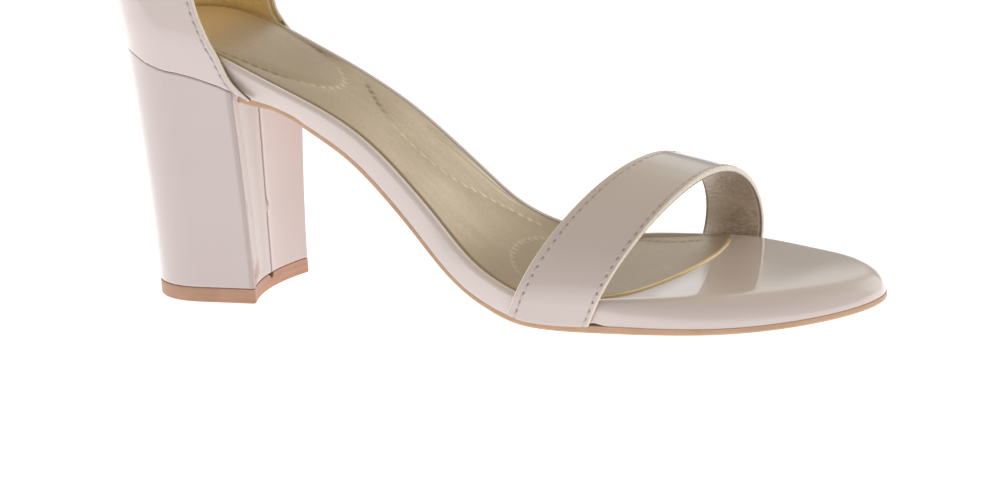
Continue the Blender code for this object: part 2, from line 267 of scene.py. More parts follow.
def plate(outline, levels, bottom, top, across):
    """Stations, sideways places and heights of rings across a plate that follows the tread line.

    A level is the outline drawn in by its inset, at its share of the way from the bottom height to
    the top height plus its offset. A ring climbs the lateral levels, runs straight over to the
    medial side at the shares in across, climbs down and returns underneath.
    """
    half = len(outline) // 2 + 1
    lateral, medial = [], []
    for level in levels:
        fixed = np.broadcast_to([level.share, 0.0], outline.shape) + np.array([0.0, 1.0]) * level.offset
        ring = np.concatenate([inset(outline, level.inset), fixed], axis=1)
        lateral.append(ring[:half])
        medial.append(np.concatenate([ring[:1], ring[:half - 1:-1], ring[half - 1:half]]))
    over = [lateral[-1] + (medial[-1] - lateral[-1]) * share for share in across]
    under = [medial[0] + (lateral[0] - medial[0]) * share for share in (0.25, 0.5, 0.75)]
    s, y, climb, offset = np.moveaxis(np.stack(lateral + over + medial[::-1] + under, axis=1), -1, 0)
    return s, y, bottom(s) * (1 - climb) + top(s, y) * climb + offset


def ease(x, start, end):
    """Smooth step from 0 at the start to 1 at the end."""
    t = np.clip((x - start) / (end - start), 0, 1)
    return t * t * (3 - 2 * t)


def round_edge(radius, steps, softness=2.0):
    """Inset and drop of a quarter round from the wall to the flat: a circle at 2, and softer above."""
    turn = np.linspace(0, np.pi / 2, steps)
    inward = np.clip(np.cos(turn), 0, 1) ** (2 / softness)
    return list(zip(radius * (1 - inward), radius * (1 - np.sin(turn))))


def breast(y, half):
    """Station of the hollowed heel breast: a parabola across the heel."""
    return BREAST_STATION - BREAST_HOLLOW * (1 - (y / half) ** 2)


def outsole_half(side):
    """Half outline of the outsole: the heel breast, then the side to the toe."""
    run = side_run(side, OUTSOLE_PROUD, BREAST_STATION + GAP, LENGTH + OUTSOLE_PROUD, OUTSOLE_ROWS)
    y = np.linspace(0, run[0, 1], BREAST_ROWS)
    edge = np.stack([breast(y, abs(run[0, 1])) + GAP, y], axis=1)
    return np.concatenate([edge[:-1], run])


outsole_outline = closed(outsole_half(-1), outsole_half(1))
sole_box = np.array(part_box("outsole")) / MM
frame_origin = np.array([
    outsole_outline[:, 0].max() - sole_box[1, 0],
    np.mean([outsole_outline[:, 1].min(), outsole_outline[:, 1].max()]) - np.mean(sole_box[:, 1]),
    0.0,
])
WELD = 2e-6


def skin(name, rings, finish, **marks):
    """A closed piece from an array of rings of points, in shoe millimetres.

    Quads join each ring to the next and close it round. The first and last rings lie folded flat,
    so that merging their doubled points closes the piece. Marks are numbers at the points.
    """
    count, around = rings.shape[:2]
    index = np.arange(count * around).reshape(count, around)
    after = np.roll(index, -1, axis=1)
    quads = np.stack([index[:-1], after[:-1], after[1:], index[1:]], axis=-1).reshape(-1, 4)
    return solid(name, rings.reshape(-1, 3), quads, finish, **marks)


def solid(name, points, faces, finish, **marks):
    """A mesh from points in shoe millimetres and faces, its doubles merged and its faces turned out."""
    mesh = bpy.data.meshes.new(name)
    mesh.from_pydata(((points - frame_origin) * MM).tolist(), [], faces.tolist())
    for mark, values in marks.items():
        layer = mesh.attributes.new(mark, "FLOAT", "POINT")
        layer.data.foreach_set("value", np.asarray(values, dtype=np.float32).ravel())
    body = bmesh.new()
    body.from_mesh(mesh)
    bmesh.ops.remove_doubles(body, verts=body.verts, dist=WELD)
    bmesh.ops.recalc_face_normals(body, faces=body.faces)
    body.to_mesh(mesh)
    body.free()
    mesh.shade_smooth()
    mesh.materials.append(finish)
    piece = bpy.data.objects.new(name, mesh)
    bpy.context.scene.collection.objects.link(piece)
    return piece


class Wire:
    """One output among a finish's nodes: arithmetic on it adds Math nodes, and node adds any other kind."""

    def __init__(self, tree, socket=None):
        self.tree = tree
        self.socket = socket

    def node(self, kind, settings, inputs, output=0):
        """Adds a node: its settings first, then the value or link of each named socket."""
        made = self.tree.nodes.new("ShaderNode" + kind)
        for name, setting in settings.items():
            setattr(made, name, setting)
        self.feed(made, inputs)
        return Wire(self.tree, made.outputs[output])

    def feed(self, made, inputs):
        """Sets or links a node's sockets."""
        for name, value in inputs.items():
            if isinstance(value, Wire):
                self.tree.links.new(value.socket, made.inputs[name])
            else:
                made.inputs[name].default_value = value

    def math(self, operation, first, second=0.0):
        """Adds a Math node."""
        return self.node("Math", {"operation": operation}, {0: first, 1: second})

    def __add__(self, other):
        return self.math("ADD", self, other)

    def __sub__(self, other):
        return self.math("SUBTRACT", self, other)

    def __rsub__(self, other):
        return self.math("SUBTRACT", other, self)

    def __mul__(self, other):
        return self.math("MULTIPLY", self, other)

    __radd__ = __add__
    __rmul__ = __mul__

    def step(self, low, high):
        """Smooth step from 0 at the low value to 1 at the high one."""
        return self.node("MapRange", {"interpolation_type": "SMOOTHSTEP"}, {0: self, 1: low, 2: high})

    def blend(self, colour, other):
        """Mixes two colours by this value."""
        ends = [c if isinstance(c, Wire) else (*c, 1.0) for c in (colour, other)]
        return self.node("Mix", {"data_type": "RGBA"}, {0: self, 6: ends[0], 7: ends[1]}, 2)

    def noise(self, scale, detail=2.0, stretch=(1.0, 1.0, 1.0)):
        """Noise of a number of cells per metre in the object's own coordinates, stretched along its axes."""
        place = self.node("TexCoord", {}, {}, "Object")
        place = self.node("Mapping", {}, {0: place, 3: stretch})
        return self.node("TexNoise", {}, {"Vector": place, "Scale": scale, "Detail": detail})

    def mark(self, name):
        """A number that the mesh carries at its points."""
        return self.node("Attribute", {"attribute_name": name}, {}, "Fac")

    def bump(self, height, distance, strength=1.0, below=None):
        """Bump of a height in metres, over an earlier bump if there is one."""
        inputs = {"Height": height, "Distance": distance, "Strength": strength}
        if below is not None:
            inputs["Normal"] = below
        return self.node("Bump", {}, inputs)

    def close(self, inputs):
        """Feeds the finish's own shader."""
        self.feed(self.tree.nodes["Principled BSDF"], inputs)


def new_finish(name):
    """A new material and the wire that its nodes start from."""
    made = bpy.data.materials.new(name)
    made.use_nodes = True
    return made, Wire(made.node_tree)


def waxed_tan(name, pale, dark, roughness):
    """Trimmed sole stuff: fine streaks along the cut between two tans, softly waxed, with a dusty grain."""
    made, start = new_finish(name)
    streaks = start.noise(420.0, 4.0, (0.12, 0.12, 2.2))
    mottle = start.noise(130.0, 3.0)
    grain = start.noise(2600.0, 2.0)
    colour = (streaks * 0.6 + mottle * 0.5).step(0.35, 0.8).blend(pale, dark)
    start.close({
        "Base Color": colour,
        "Roughness": mottle * 0.2 + (roughness - 0.1),
        "Coat Weight": 0.15,
        "Coat Roughness": 0.3,
        "Normal": start.bump(grain, 0.00006, 0.5, start.bump(streaks, 0.0001, 0.4)),
    })
    return made


edge_round = round_edge(OUTSOLE_EDGE, EDGE_STEPS)
trim = OUTSOLE_TRIM + SHANK_TRIM * (1 - ease(outsole_outline[:, :1], *ARCH_FADE))
outsole_levels = [Level(pulled + trim, 0, drop) for pulled, drop in edge_round[::-1]] + [Level(trim, 1, 0)]
outsole_rings = plate(
    outsole_outline, outsole_levels,
    lambda s: SHANK.read("bottom", s), lambda s, y: SHANK.read("top", s),
    np.linspace(0, 1, SOLE_ACROSS)[1:-1],
)
outsole = skin(
    "outsole_sheet", on_bed(*outsole_rings),
    waxed_tan("sole_tan_waxed", SOLE_TAN, SOLE_TAN_DARK, 0.5),
)
outsole.data.set_sharp_from_angle(angle=OUTSOLE_ARRIS)
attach(outsole, "root")
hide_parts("outsole")


# Footbed
# A moulded platform wrapped in nude patent leather, which shows as the rand along the side
# and as the covered toe. The cover is drawn over the edge in a soft roll and cemented under the sock.

RAND_INSET = 0.4
LIP_HEIGHT = 0.8
LIP_BALL_RISE = 0.5
LIP_WIDTH = 2.35
LIP_CLEAR = 0.1
LIP_STEP = 0.25
BALL_SPAN = (108.0, 122.0)
TOE_ROUND = 430.0
TOE_TILT = 0.7
TOE_TILT_END = 209.0
TOE_COVER_START = 150.0
TOE_COVER_FULL = 176.0
CONTACT = 0.04
SEAT_RISE_START = 12.0
FOOTBED_TOP = Table(
    "station top",
    (0, 7.8), (110, 7.8), (145, 8.4), (180, 9.7), (205, 9.7), (229, 8.2),
)

# The roll of the cover over the edge: how far in it reaches and how far it drops.
ROLL = Table(
    "station reach drop",
    (0, 1.5, 1.5), (142, 1.5, 1.5), (168, 5.0, 5.6), (190, 7.5, 7.1), (205, 8.5, 7.1), (229, 8.0, 5.8),
)
FOOTBED_ROWS = 340
ROLL_STEPS = 22
ROLL_SOFTNESS = 3.0
RAND_LEAN = 0.6
RAND_FOOT = 0.06
RAND_FOOT_LEAN = 0.8
RAND_LIFT = 0.9
RAND_LIFT_STATION = 155.0
RAND_LIFT_REACH = 2.5
FOOTBED_ACROSS = 40
STRIP_STEPS = 12
STRIP_FADE = (31.0, 35.0)
NUDE = (0.84, 0.735, 0.735)
NUDE_DEEP = (0.815, 0.71, 0.71)
# Colour of painted shade in stitch holes.
HOLE_SHADE_BROWN = (0.32, 0.255, 0.23)
STRIP_BROWN = (0.55, 0.40, 0.22)

footbed_top = FOOTBED_TOP.smooth("top")


def seat_height(s):
    """Top of what carries the footbed: a straight ramp from the heel's back to the outsole's thickness."""
    full = BREAST_STATION - BREAST_HOLLOW
    return OUTSOLE_THICKNESS * np.clip((s - SEAT_RISE_START) / (full - SEAT_RISE_START), 0, 1)


def footbed_foot(s):
    """Underside of the footbed: on the heel's seat, then on the outsole."""
    sprung = (SHANK.read("top", s) - OUTSOLE_THICKNESS) * ease(s, BREAST_STATION, SHANK.places[1])
    return seat_height(s) + sprung + CONTACT


def toe_cover(s):
    """Share of the toe's own form: 0 under the sock and 1 over the toes."""
    return ease(s, TOE_COVER_START, TOE_COVER_FULL)


def bed_top(s, y):
    """Top of the footbed: the table's height, a low round across the toes and a tilt to the medial side."""
    wide, narrow = half_width(s, 1), half_width(s, -1)
    half = np.maximum((wide + narrow) / 2, 1.0)
    u = np.clip((y - toe_swing(s) - (wide - narrow) / 2) / half, -1, 1)
    tilt = TOE_TILT * (1 - ease(s, TOE_COVER_FULL, TOE_TILT_END))
    return footbed_top(s) + toe_cover(s) * (half**2 * (1 - u**2) / (2 * TOE_ROUND) + tilt * (1 + u) / 2)


def bell(away, width, power=2):
    """Bell curve: one in the middle and one over e a width away. A higher even power flattens its top."""
    return np.exp(-((away / width) ** power))


def footbed_half(side):
    """One side of the footbed's outline, just inside the last's plan."""
    return side_run(side, -RAND_INSET, RAND_INSET, LENGTH - RAND_INSET, FOOTBED_ROWS)


def patent(name, pale, deep, mark=None, mark_colour=HOLE_SHADE_BROWN):
    """Patent leather: a nude pigment under a thick clear film.

    The pigment drifts a few per cent between two tones. A long shallow ripple and a finer peel bend the
    reflections in the film. Where the mesh is marked, a second colour shows and the film turns matt: the
    pieces use it for painted shade in stitch holes, for the heel's seam line with painted shade beside it,
    and for a browner strip on the wrap.
    """
    made, start = new_finish(name)
    cloud = start.noise(24.0, 2.0)
    peel = start.noise(900.0, 2.0)
    ripple = start.noise(70.0, 1.0)
    colour = cloud.step(0.3, 0.7).blend(pale, deep)
    roughness = peel * 0.06 + 0.15
    gloss = 1.0
    if mark is not None:
        mark_share = start.mark(mark)
        colour = mark_share.blend(colour, mark_colour)
        roughness = roughness + mark_share * 0.4
        gloss = 1 - mark_share
    start.close({
        "Base Color": colour,
        "Roughness": roughness,
        "Coat Weight": gloss,
        "Coat Roughness": 0.035,
        "Normal": start.bump(peel, 0.00001, 0.08, start.bump(ripple, 0.0002, 0.25)),
    })
    return made


footbed_outline = closed(footbed_half(-1), footbed_half(1))
along, aside = footbed_outline[:, :1], footbed_outline[:, 1:]
lip = (LIP_HEIGHT + LIP_BALL_RISE * ease(along, *BALL_SPAN) * (aside > 0)) * (1 - toe_cover(along))
roll_in, roll_drop = (ROLL.read(name, along) for name in ("reach", "drop"))
lip_in = np.maximum(LIP_WIDTH, roll_in + LIP_CLEAR)
lean = RAND_LEAN * (1 - ease(along, *ARCH_FADE))
lift = RAND_LIFT * bell(along - RAND_LIFT_STATION, RAND_LIFT_REACH) * (aside < 0)
footbed_levels = [
    Level(lean, 0, lift),
    Level(RAND_FOOT_LEAN * lean, RAND_FOOT, RAND_FOOT * lip + lift),
]
footbed_levels += [
    Level(pulled * roll_in, 1, lip - drop * roll_drop)
    for pulled, drop in round_edge(1.0, ROLL_STEPS, ROLL_SOFTNESS)
]
footbed_levels += [
    Level(lip_in + way * LIP_STEP, 1, left * lip)
    for way, left in ((0.0, 1.0), (0.3, 0.9), (0.6, 0.1), (1.0, 0.0))
]
footbed_rings = plate(
    footbed_outline, footbed_levels, footbed_foot, bed_top, np.linspace(0, 1, FOOTBED_ACROSS)[1:-1],
)
top_edge = len(footbed_levels)
strip = np.zeros(footbed_rings[0].shape)
strip[:, top_edge - STRIP_STEPS:top_edge + FOOTBED_ACROSS - 2 + STRIP_STEPS] = 1.0
strip *= 1 - ease(footbed_rings[0], *STRIP_FADE)
wrap_patent = patent("patent_wrap", NUDE, NUDE_DEEP, "strip", STRIP_BROWN)
footbed = skin("footbed_wrap", on_bed(*footbed_rings), wrap_patent, strip=strip)
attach(footbed, "root")
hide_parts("footbed")


# Sock lining
# A thin sheet of champagne metallic leather over a foam backing, cut a little inside the rand.
# It is cemented on the footbed, with padded shapes pressed into it by rows of short dashes.

SOCK_THICKNESS = 0.9
SOCK_INSET = 2.8
SOCK_ROWS = 420
SOCK_FRONT_ROWS = 90
SOCK_ACROSS = 150
SOCK_ROLL = 0.35
SOCK_ROLL_STEPS = 4
PRESSED_DEPTH = 0.32
PRESSED_WIDTH = 0.55
PRESSED_SOFTNESS = 3.2
PRESSED_DIP = 0.35
SOCK_EDGE_DROP = 0.22
SOCK_BALL_DROP = 0.2
SOCK_BALL_SETTLE = (105.0, 130.0)
SOCK_BALL_SHADE = 0.75
SOCK_SHADE_WIDTH = 3.2
SOCK_EDGE_SOFTNESS = 4.0
SOCK_SKIVE = 0.4
SOCK_SKIVE_REACH = 9.0
RIDGE_RISE = 0.4
RIDGE_WIDTH = 1.4
# Painted highlight streaks along the arch ridge: their strength, reach, pitch and the stations where they
# start and end.
RIDGE_HIGHLIGHT = 0.75
STREAK_REACH = 2.8
STREAK_PITCH = 2.2
STREAK_START = (80.0, 95.0)
STREAK_END = (102.0, 107.0)
# A painted glow of highlight on the arch: its strength, centre and reach.
SHEEN = 0.16
SHEEN_PLACE = (93.0, -9.0)
SHEEN_REACH = (9.0, 6.0)
DASH = 2.9
DASH_SHARE = 0.62
DASH_SOFTNESS = 0.08
DASH_BETWEEN = 0.25
LIT_TURN = 5.0
CHAMPAGNE = (0.73, 0.61, 0.47)
CHAMPAGNE_DEEP = (0.59, 0.485, 0.36)
# Colour of the foil under its painted shade.
CHAMPAGNE_SHADE = (0.455, 0.36, 0.257)
HEEL_GOLD = (0.88, 0.725, 0.525)
# Colour of painted shade on the sheet: dashes that face away from the light, and the lip's shade.
SOCK_SHADE_BROWN = (0.25, 0.18, 0.11)
# Colour of painted highlight on the sheet.
SOCK_HIGHLIGHT = (0.95, 0.87, 0.72)
CUT_GOLD = (1.0, 0.80, 0.48)
CUT_BEHIND = (-3.0, -1.0)
CUT_END = (28.0, 33.0)
# Painted shade on the sheet's lateral side by the rand: its colour, its strength and its span across.
SIDE_SHADE_BROWN = (0.36, 0.23, 0.11)
BROWN_SHARE = 0.9
BROWN_SPAN = (0.0, 8.0)
HEEL_GOLD_END = (12.0, 48.0)

# The sock's front edge, from the lateral side to the medial one.
SOCK_FRONT = Table(
    "y station",
    (-36, 144.0), (-34, 148.0), (-32, 153.0), (-30.5, 158.0), (-28.5, 162.5), (-24.5, 166.5), (-18.5, 170.2),
    (-10, 173.5), (0, 175.3), (9, 175.7), (20, 174.6), (30, 172.2), (36, 169.0), (39, 165.0), (40, 159.0),
)

# How much painted shade darkens the foil along the shoe: most on the heel's pad, in the cup's shade, and
# under the ball, in the strap's shade.
FOIL_SHADE = Table(
    "station share",
    (0, 0.0), (18, 0.05), (32, 0.85), (45, 1.0), (62, 0.45), (80, 0.1), (95, 0.2), (106, 0.5), (119, 1.0),
    (150, 0.95), (172, 0.75),
)

# Padded shapes, as ellipses in the plan: their centres and half axes.
Pad = namedtuple("Pad", "station y along across")
HEEL_PAD = Pad(20.0, 3.0, 38.3, 20.5)
BALL_PAD = Pad(129.2, -2.0, 15.0, 21.3)

# The edge of the arch pad, a ridge beyond it and a dashed line inside the medial edge: y at each station.
ARCH_LINE = Table(
    "station y",
    (61, 14.0), (68.5, 5.6), (75, 1.0), (82, -0.3), (90.6, 2.1), (98, 9.0), (104.5, 14.3), (112, 17.3),
)
ARCH_RIDGE = Table("station y", (80, 14.6), (89, 16.6), (97, 18.6), (104, 21.6))
MEDIAL_LINE = Table("station y", (126, 33.0), (141, 34.2), (152, 32.2), (164, 29.8))


def sock_front(y):
    """Station of the sock's front edge."""
    return SOCK_FRONT.read("station", y)


def sock_half(side):
    """Half outline of the sock: the side from the heel, then its front edge to the middle."""
    outward = -RAND_INSET - SOCK_INSET
    s, y = last_side(side, outward)
    end = s[np.argmax((s > sock_front(y)) & (s > PLAN.places[-2]))]
    run = side_run(side, outward, -outward, end, SOCK_ROWS)
    across = np.linspace(run[-1, 1], 0, DENSE)
    return np.concatenate([run[:-1], even(np.stack([sock_front(across), across], axis=1), SOCK_FRONT_ROWS)])


def from_side(s, y, side):
    """How far inside one side of the sock a place lies, straight across the shoe."""
    return half_width(s, side) - side * (y - toe_swing(s)) - RAND_INSET - SOCK_INSET


def sock_top(s, y):
    """Top of the sock: a thickness over the footbed, settling to its sides and skived at its front edge."""
    lateral, medial = (from_side(s, y, side) for side in (-1, 1))
    inside = np.clip(np.minimum(lateral, medial), 0, None)
    ball = ease(s, *SOCK_BALL_SETTLE) * (medial < lateral)
    settled = (SOCK_EDGE_DROP + SOCK_BALL_DROP * ball) * np.exp(-inside / SOCK_EDGE_SOFTNESS)
    skived = SOCK_SKIVE * ease(s, sock_front(y) - SOCK_SKIVE_REACH, sock_front(y))
    return bed_top(s, y) + CONTACT + SOCK_THICKNESS - np.maximum(settled, skived)


def pad_line(pad):
    """Outline of a padded shape, an ellipse."""
    turn = np.linspace(0, 2 * np.pi, DENSE // 4)
    return np.stack([pad.station + pad.along * np.cos(turn), pad.y + pad.across * np.sin(turn)], axis=1)


def table_line(rows):
    """A pressed line through the rows of a table."""
    s = np.linspace(*rows.places[[0, -1]], DENSE // 4)
    return np.stack([s, rows.read("y", s)], axis=1)


def nearest(points, targets):
    """Distance from each point to the nearest target and that target's number."""
    flat = points.reshape(-1, points.shape[-1])
    square = (flat**2).sum(1)[:, None] + (targets**2).sum(1) - 2 * flat @ targets.T
    which = square.argmin(axis=1)
    distance = np.sqrt(np.clip(square[np.arange(len(flat)), which], 0, None))
    return distance.reshape(points.shape[:-1]), which.reshape(points.shape[:-1])


Pressed = namedtuple("Pressed", "path turns_pale width contrast")


def pressed_lines(plan, lines):
    """Depth of pressed dashes, and how dark and how pale they are.

    Each line is a narrow groove broken into dashes in a wide soft dip. Its dashes carry painted shade up to
    the station where it turns pale, and a painted highlight beyond, where they face the light.
    """
    depth, dark, pale = (np.zeros(plan.shape[:-1]) for _ in range(3))
    for path, turns_pale, width, contrast in lines:
        length = np.linalg.norm(np.diff(path, axis=0), axis=1).sum()
        targets = even(path, int(length / (PRESSED_WIDTH / 2)))
        away, which = nearest(plan, targets)
        phase = which * length / len(targets) / DASH % 1.0
        dash = np.clip((DASH_SHARE / 2 - np.abs(phase - 0.5)) / DASH_SOFTNESS + 0.5, 0, 1)
        groove = bell(away, width) * (DASH_BETWEEN + (1 - DASH_BETWEEN) * dash)
        dip = bell(away, PRESSED_SOFTNESS)
        lit = ease(plan[..., 0], turns_pale - LIT_TURN, turns_pale + LIT_TURN)
        depth = np.maximum(depth, PRESSED_DEPTH * groove + PRESSED_DIP * dip)
        dark = np.maximum(dark, contrast * groove * (1 - lit))
        pale = np.maximum(pale, contrast * groove * lit)
    return depth, dark, pale


def metal_leather(name):
    """Metallic leather: champagne foil, more golden at the heel, brushed along over a fine pebble grain.

    Painted shade darkens it on the heel's pad, in the cup's shade, and under the ball, in the strap's shade.
    Pressed dashes carry painted shade where they face away from the light and a painted highlight where they
    face it; painted highlights also streak the arch ridge and glow on the arch. The cut front edge is
    golden, and painted shade darkens its lateral side by the rand, over the gap under its edge.
    """
    made, start = new_finish(name)
    cloud = start.noise(35.0, 3.0)
    brushed = start.noise(260.0, 3.0, (0.25, 1.6, 0.25))
    pebble = start.noise(1500.0, 3.0)
    colour = (cloud * 0.45 + brushed * 0.2 + pebble * 0.35).step(0.36, 0.64).blend(CHAMPAGNE, CHAMPAGNE_DEEP)
    colour = start.mark("heel").blend(colour, HEEL_GOLD)
    # Painted shade on the heel's pad and under the ball, mottled by the grain.
    colour = (start.mark("foil_shade") * (cloud * 0.3 + pebble * 0.4 + 0.62)).blend(colour, CHAMPAGNE_SHADE)
    # Painted shade of the dashes and of the lip over the medial edge under the ball.
    colour = (start.mark("dark") * 0.7).blend(colour, SOCK_SHADE_BROWN)
    # Painted highlights of the dashes, the ridge and the arch.
    colour = (start.mark("pale") * 0.8).blend(colour, SOCK_HIGHLIGHT)
    colour = start.mark("cut").blend(colour, CUT_GOLD)
    # Painted shade on the lateral side by the rand, with less metal there.
    colour = start.mark("side_shade").blend(colour, SIDE_SHADE_BROWN)
    start.close({
        "Base Color": colour,
        "Metallic": 0.55 - 0.4 * start.mark("side_shade"),
        "Roughness": pebble * 0.16 + brushed * 0.1 + 0.28,
        "Normal": start.bump(pebble, 0.00008, 0.45, start.bump(brushed, 0.0001, 0.2)),
    })
    return made


sock_levels = [Level(0, 0, 0), Level(0, 0.35, 0)]
sock_levels += [Level(pulled, 1, -drop) for pulled, drop in round_edge(SOCK_ROLL, SOCK_ROLL_STEPS)]
sock_levels += [Level(SOCK_ROLL + more, 1, 0) for more in (0.3, 0.75, 1.0)]
s, y, height = plate(
    closed(sock_half(-1), sock_half(1)), sock_levels,
    lambda s: footbed_top(s) + CONTACT, sock_top, np.linspace(0, 1, SOCK_ACROSS)[1:-1],
)
climb = len(sock_levels)
upper_side = slice(climb - 1, climb + SOCK_ACROSS - 1)
upper_plan = np.stack([s, y], axis=-1)[:, upper_side]
depth, dark, pale = pressed_lines(upper_plan, [
    Pressed(pad_line(HEEL_PAD), 49, PRESSED_WIDTH, 0.75),
    Pressed(pad_line(BALL_PAD), 100, PRESSED_WIDTH, 0.4),
    Pressed(table_line(ARCH_LINE), 72, 1.2 * PRESSED_WIDTH, 1.0),
    Pressed(table_line(MEDIAL_LINE), 300, 2 * PRESSED_WIDTH, 1.0),
])
from_ridge, _ = nearest(upper_plan, table_line(ARCH_RIDGE))
height[:, upper_side] += RIDGE_RISE * bell(from_ridge, RIDGE_WIDTH) - depth
# Painted shade: the lip's shadow along the medial edge under the ball, and the dashes that face away from
# the light.
shaded = SOCK_BALL_SHADE * bell(from_side(s, y, 1), SOCK_SHADE_WIDTH) * ease(s, *BALL_SPAN)
shaded[:, upper_side] = np.maximum(dark, shaded[:, upper_side])
# Painted highlights: pale streaks along the arch ridge and a soft glow on the arch.
streaks = RIDGE_HIGHLIGHT * bell(from_ridge, STREAK_REACH)
streaks *= 0.5 + 0.5 * np.cos(2 * np.pi * from_ridge / STREAK_PITCH)
streaks *= ease(upper_plan[..., 0], *STREAK_START) * (1 - ease(upper_plan[..., 0], *STREAK_END))
sheen = SHEEN * bell(upper_plan - SHEEN_PLACE, SHEEN_REACH).prod(axis=-1)
edge_columns = list(range(climb - 1)) + list(range(climb + SOCK_ACROSS - 1, 2 * climb + SOCK_ACROSS - 2))
at_front = ease(s - sock_front(y), *CUT_BEHIND)[:, edge_columns]
sock_marks = {name: np.zeros(height.shape) for name in ("pale", "cut", "side_shade")}
sock_marks["pale"][:, upper_side] = np.maximum(pale, streaks + sheen)
sock_marks["cut"][:, edge_columns] = at_front * (1 - ease(y[:, edge_columns], *CUT_END))
sock_marks["cut"][:, [climb - 2, climb + SOCK_ACROSS - 1]] = 0.0
# Painted shade on the lateral side of the sheet, for the shadow of the gap under its edge by the rand.
sock_marks["side_shade"][:, edge_columns] = BROWN_SHARE * (1 - at_front) * ease(-y[:, edge_columns], *BROWN_SPAN)
sock_marks["dark"] = shaded
sock_marks["heel"] = 1 - ease(s, *HEEL_GOLD_END)
# Painted shade along the shoe, read from the table of painted shade.
sock_marks["foil_shade"] = FOIL_SHADE.read("share", s)
sock = skin("sock_sheet", on_bed(s, y, height), metal_leather("sock_champagne"), **sock_marks)
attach(sock, "root")
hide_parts("sock_lining")


# Front strap
# One wide band over the toes: patent leather and a metallic lining sewn together along both edges.
# Its cut edges are painted cream, and its skived ends go down beside the rand to the outsole.

StrapEdge = namedtuple("StrapEdge", "lateral medial rise bow twist")
STRAP_BACK = StrapEdge(131.0, 158.5, 33.5, 13.0, 1.5)
STRAP_FRONT = StrapEdge(157.0, 177.5, 29.5, 10.0, 2.5)
STRAP_WALL = 1.9
STRAP_SKIVED = 1.2
STRAP_SPRING = 9.4
STRAP_WIDTH = 24.0
UPPER_DEPTH = 0.6
LINING_DEPTH = 0.62
STRAP_EDGE_ROUND = 0.45
STRAP_PAINTED = 0.82
CREASE_DEPTH = 0.07
CREASE_WIDTH = 2.4
STRAP_LENGTH = 112.0

# Soft creases across the band, as shares of the way along it.
STRAP_CREASES = (0.31, 0.445)
STRAP_ROWS = 420
STRAP_FOOT_ROWS = 14

# Rows of the mesh beside a cut edge and through its seam, in millimetres from the edge.
EDGE_ROWS = (0.0, 0.08, 0.2, 0.45, 0.8)
SEAM_ROWS = np.arange(1.0, 3.0, 0.15)
FACE_SPAN = (0.15, 0.85)
FACE_COLUMNS = 22
BACK_COLUMNS = 12
LINING_SPAN = (0.004, 0.996)
SEAM_PROBE = 0.02
STITCH_SHARE = {"back": 2.2 / STRAP_WIDTH, "front": 1 - 1.15 / STRAP_WIDTH}
STITCH_PITCH = 2.9
STITCH_LENGTH = 1.9
THREAD_WIDTH = 0.28
THREAD_HEIGHT = 0.14
HOLE_LENGTH = 0.55
HOLE_WIDTH = 0.34
HOLE_DEPTH = 0.3
HOLE_SHADE = 0.85
GROOVE_WIDTH = 0.7
GROOVE_DEPTH = 0.03
# Fading of the holes' painted shade and the seam's groove at the crest: how much, and over what share of the
# band.
CREST_FADE = 0.8
CREST_REACH = 0.2
PAINT_PROUD = 0.30
PAINT_SUNK = 0.35
PAINT_STEPS = 16
NUDE_STRAP = (0.75, 0.65, 0.64)
NUDE_STRAP_DEEP = (0.725, 0.625, 0.615)
THREAD_NUDE = (0.78, 0.675, 0.665)
EDGE_CREAM = (0.95, 0.87, 0.78)
EDGE_PEACH = (0.92, 0.79, 0.65)
BRONZE = (0.90, 0.81, 0.71)
BRONZE_DEEP = (0.60, 0.51, 0.42)
BORDER_BROWN = (0.20, 0.14, 0.10)
BORDER_WIDTH = 0.75
# Painted highlight on the linings: its colour, then the inset and width of a line from each cut edge of the
# strap, and the reach of a glow from its back edge.
LINING_HIGHLIGHT_PALE = (1.0, 0.95, 0.90)
HIGHLIGHT_INSET = 1.3
HIGHLIGHT_WIDTH = 0.35
BACK_HIGHLIGHT = 0.3


def strap_reach(side, spring, foot):
    """How far out the band's inner face runs beside the rand: the last's wider half of spring and foot."""
    return np.maximum(*(half_width(s, side) + side * toe_swing(s) for s in (spring, foot)))


def strap_point(across, along, depth):
    """Points of the band at a share of its width, a way along it and a depth of its wall.

    Both edges are half ellipses from side to side, along 0 to 1, that bow forward over the toes. Before
    0 and after 1 the band runs straight down beside the rand to the outsole, its wall skived.
    """
    lateral, medial, rise, bow, twist = (
        back + (front - back) * across for back, front in zip(STRAP_BACK, STRAP_FRONT)
    )
    fall = (STRAP_SPRING - OUTSOLE_THICKNESS - GAP) / rise
    feet = lateral - fall * (bow + 2 * twist), medial - fall * (bow - 2 * twist)
    lift = OUTSOLE_THICKNESS + GAP
    ends = [(STRAP_SPRING - tread(s) - lift * np.hypot(1, tread_slope(s))) / rise for s in feet]
    held = np.pi * np.clip(along, 0, 1)
    below = np.where(along < 0, -along * ends[0], np.where(along > 1, (along - 1) * ends[1], 0.0))
    wall = STRAP_WALL + (STRAP_SKIVED - STRAP_WALL) * below / fall
    out = wall * (1 - depth)
    near = strap_reach(-1, lateral, feet[0]) + out
    far = strap_reach(1, medial, feet[1]) + out
    lean = np.where(along < 0, bow + 2 * twist, bow - 2 * twist)
    x = lateral + (medial - lateral) * (1 - np.cos(held)) / 2
    x = x + bow * np.sin(held) + twist * np.sin(2 * held) - below * lean
    y = (far - near) / 2 - (far + near) / 2 * np.cos(held)
    z = STRAP_SPRING + (rise - wall * depth) * np.sin(held) - below * rise
    return np.stack(np.broadcast_arrays(x, y, z), axis=-1)


def edge_frame(outer, inner, sign):
    """Outward-facing and away-from-the-leather directions on a cut edge between its two arrises."""
    face = unit(outer - inner)
    return face, unit(sign * np.cross(unit(np.gradient(outer, axis=0)), face))


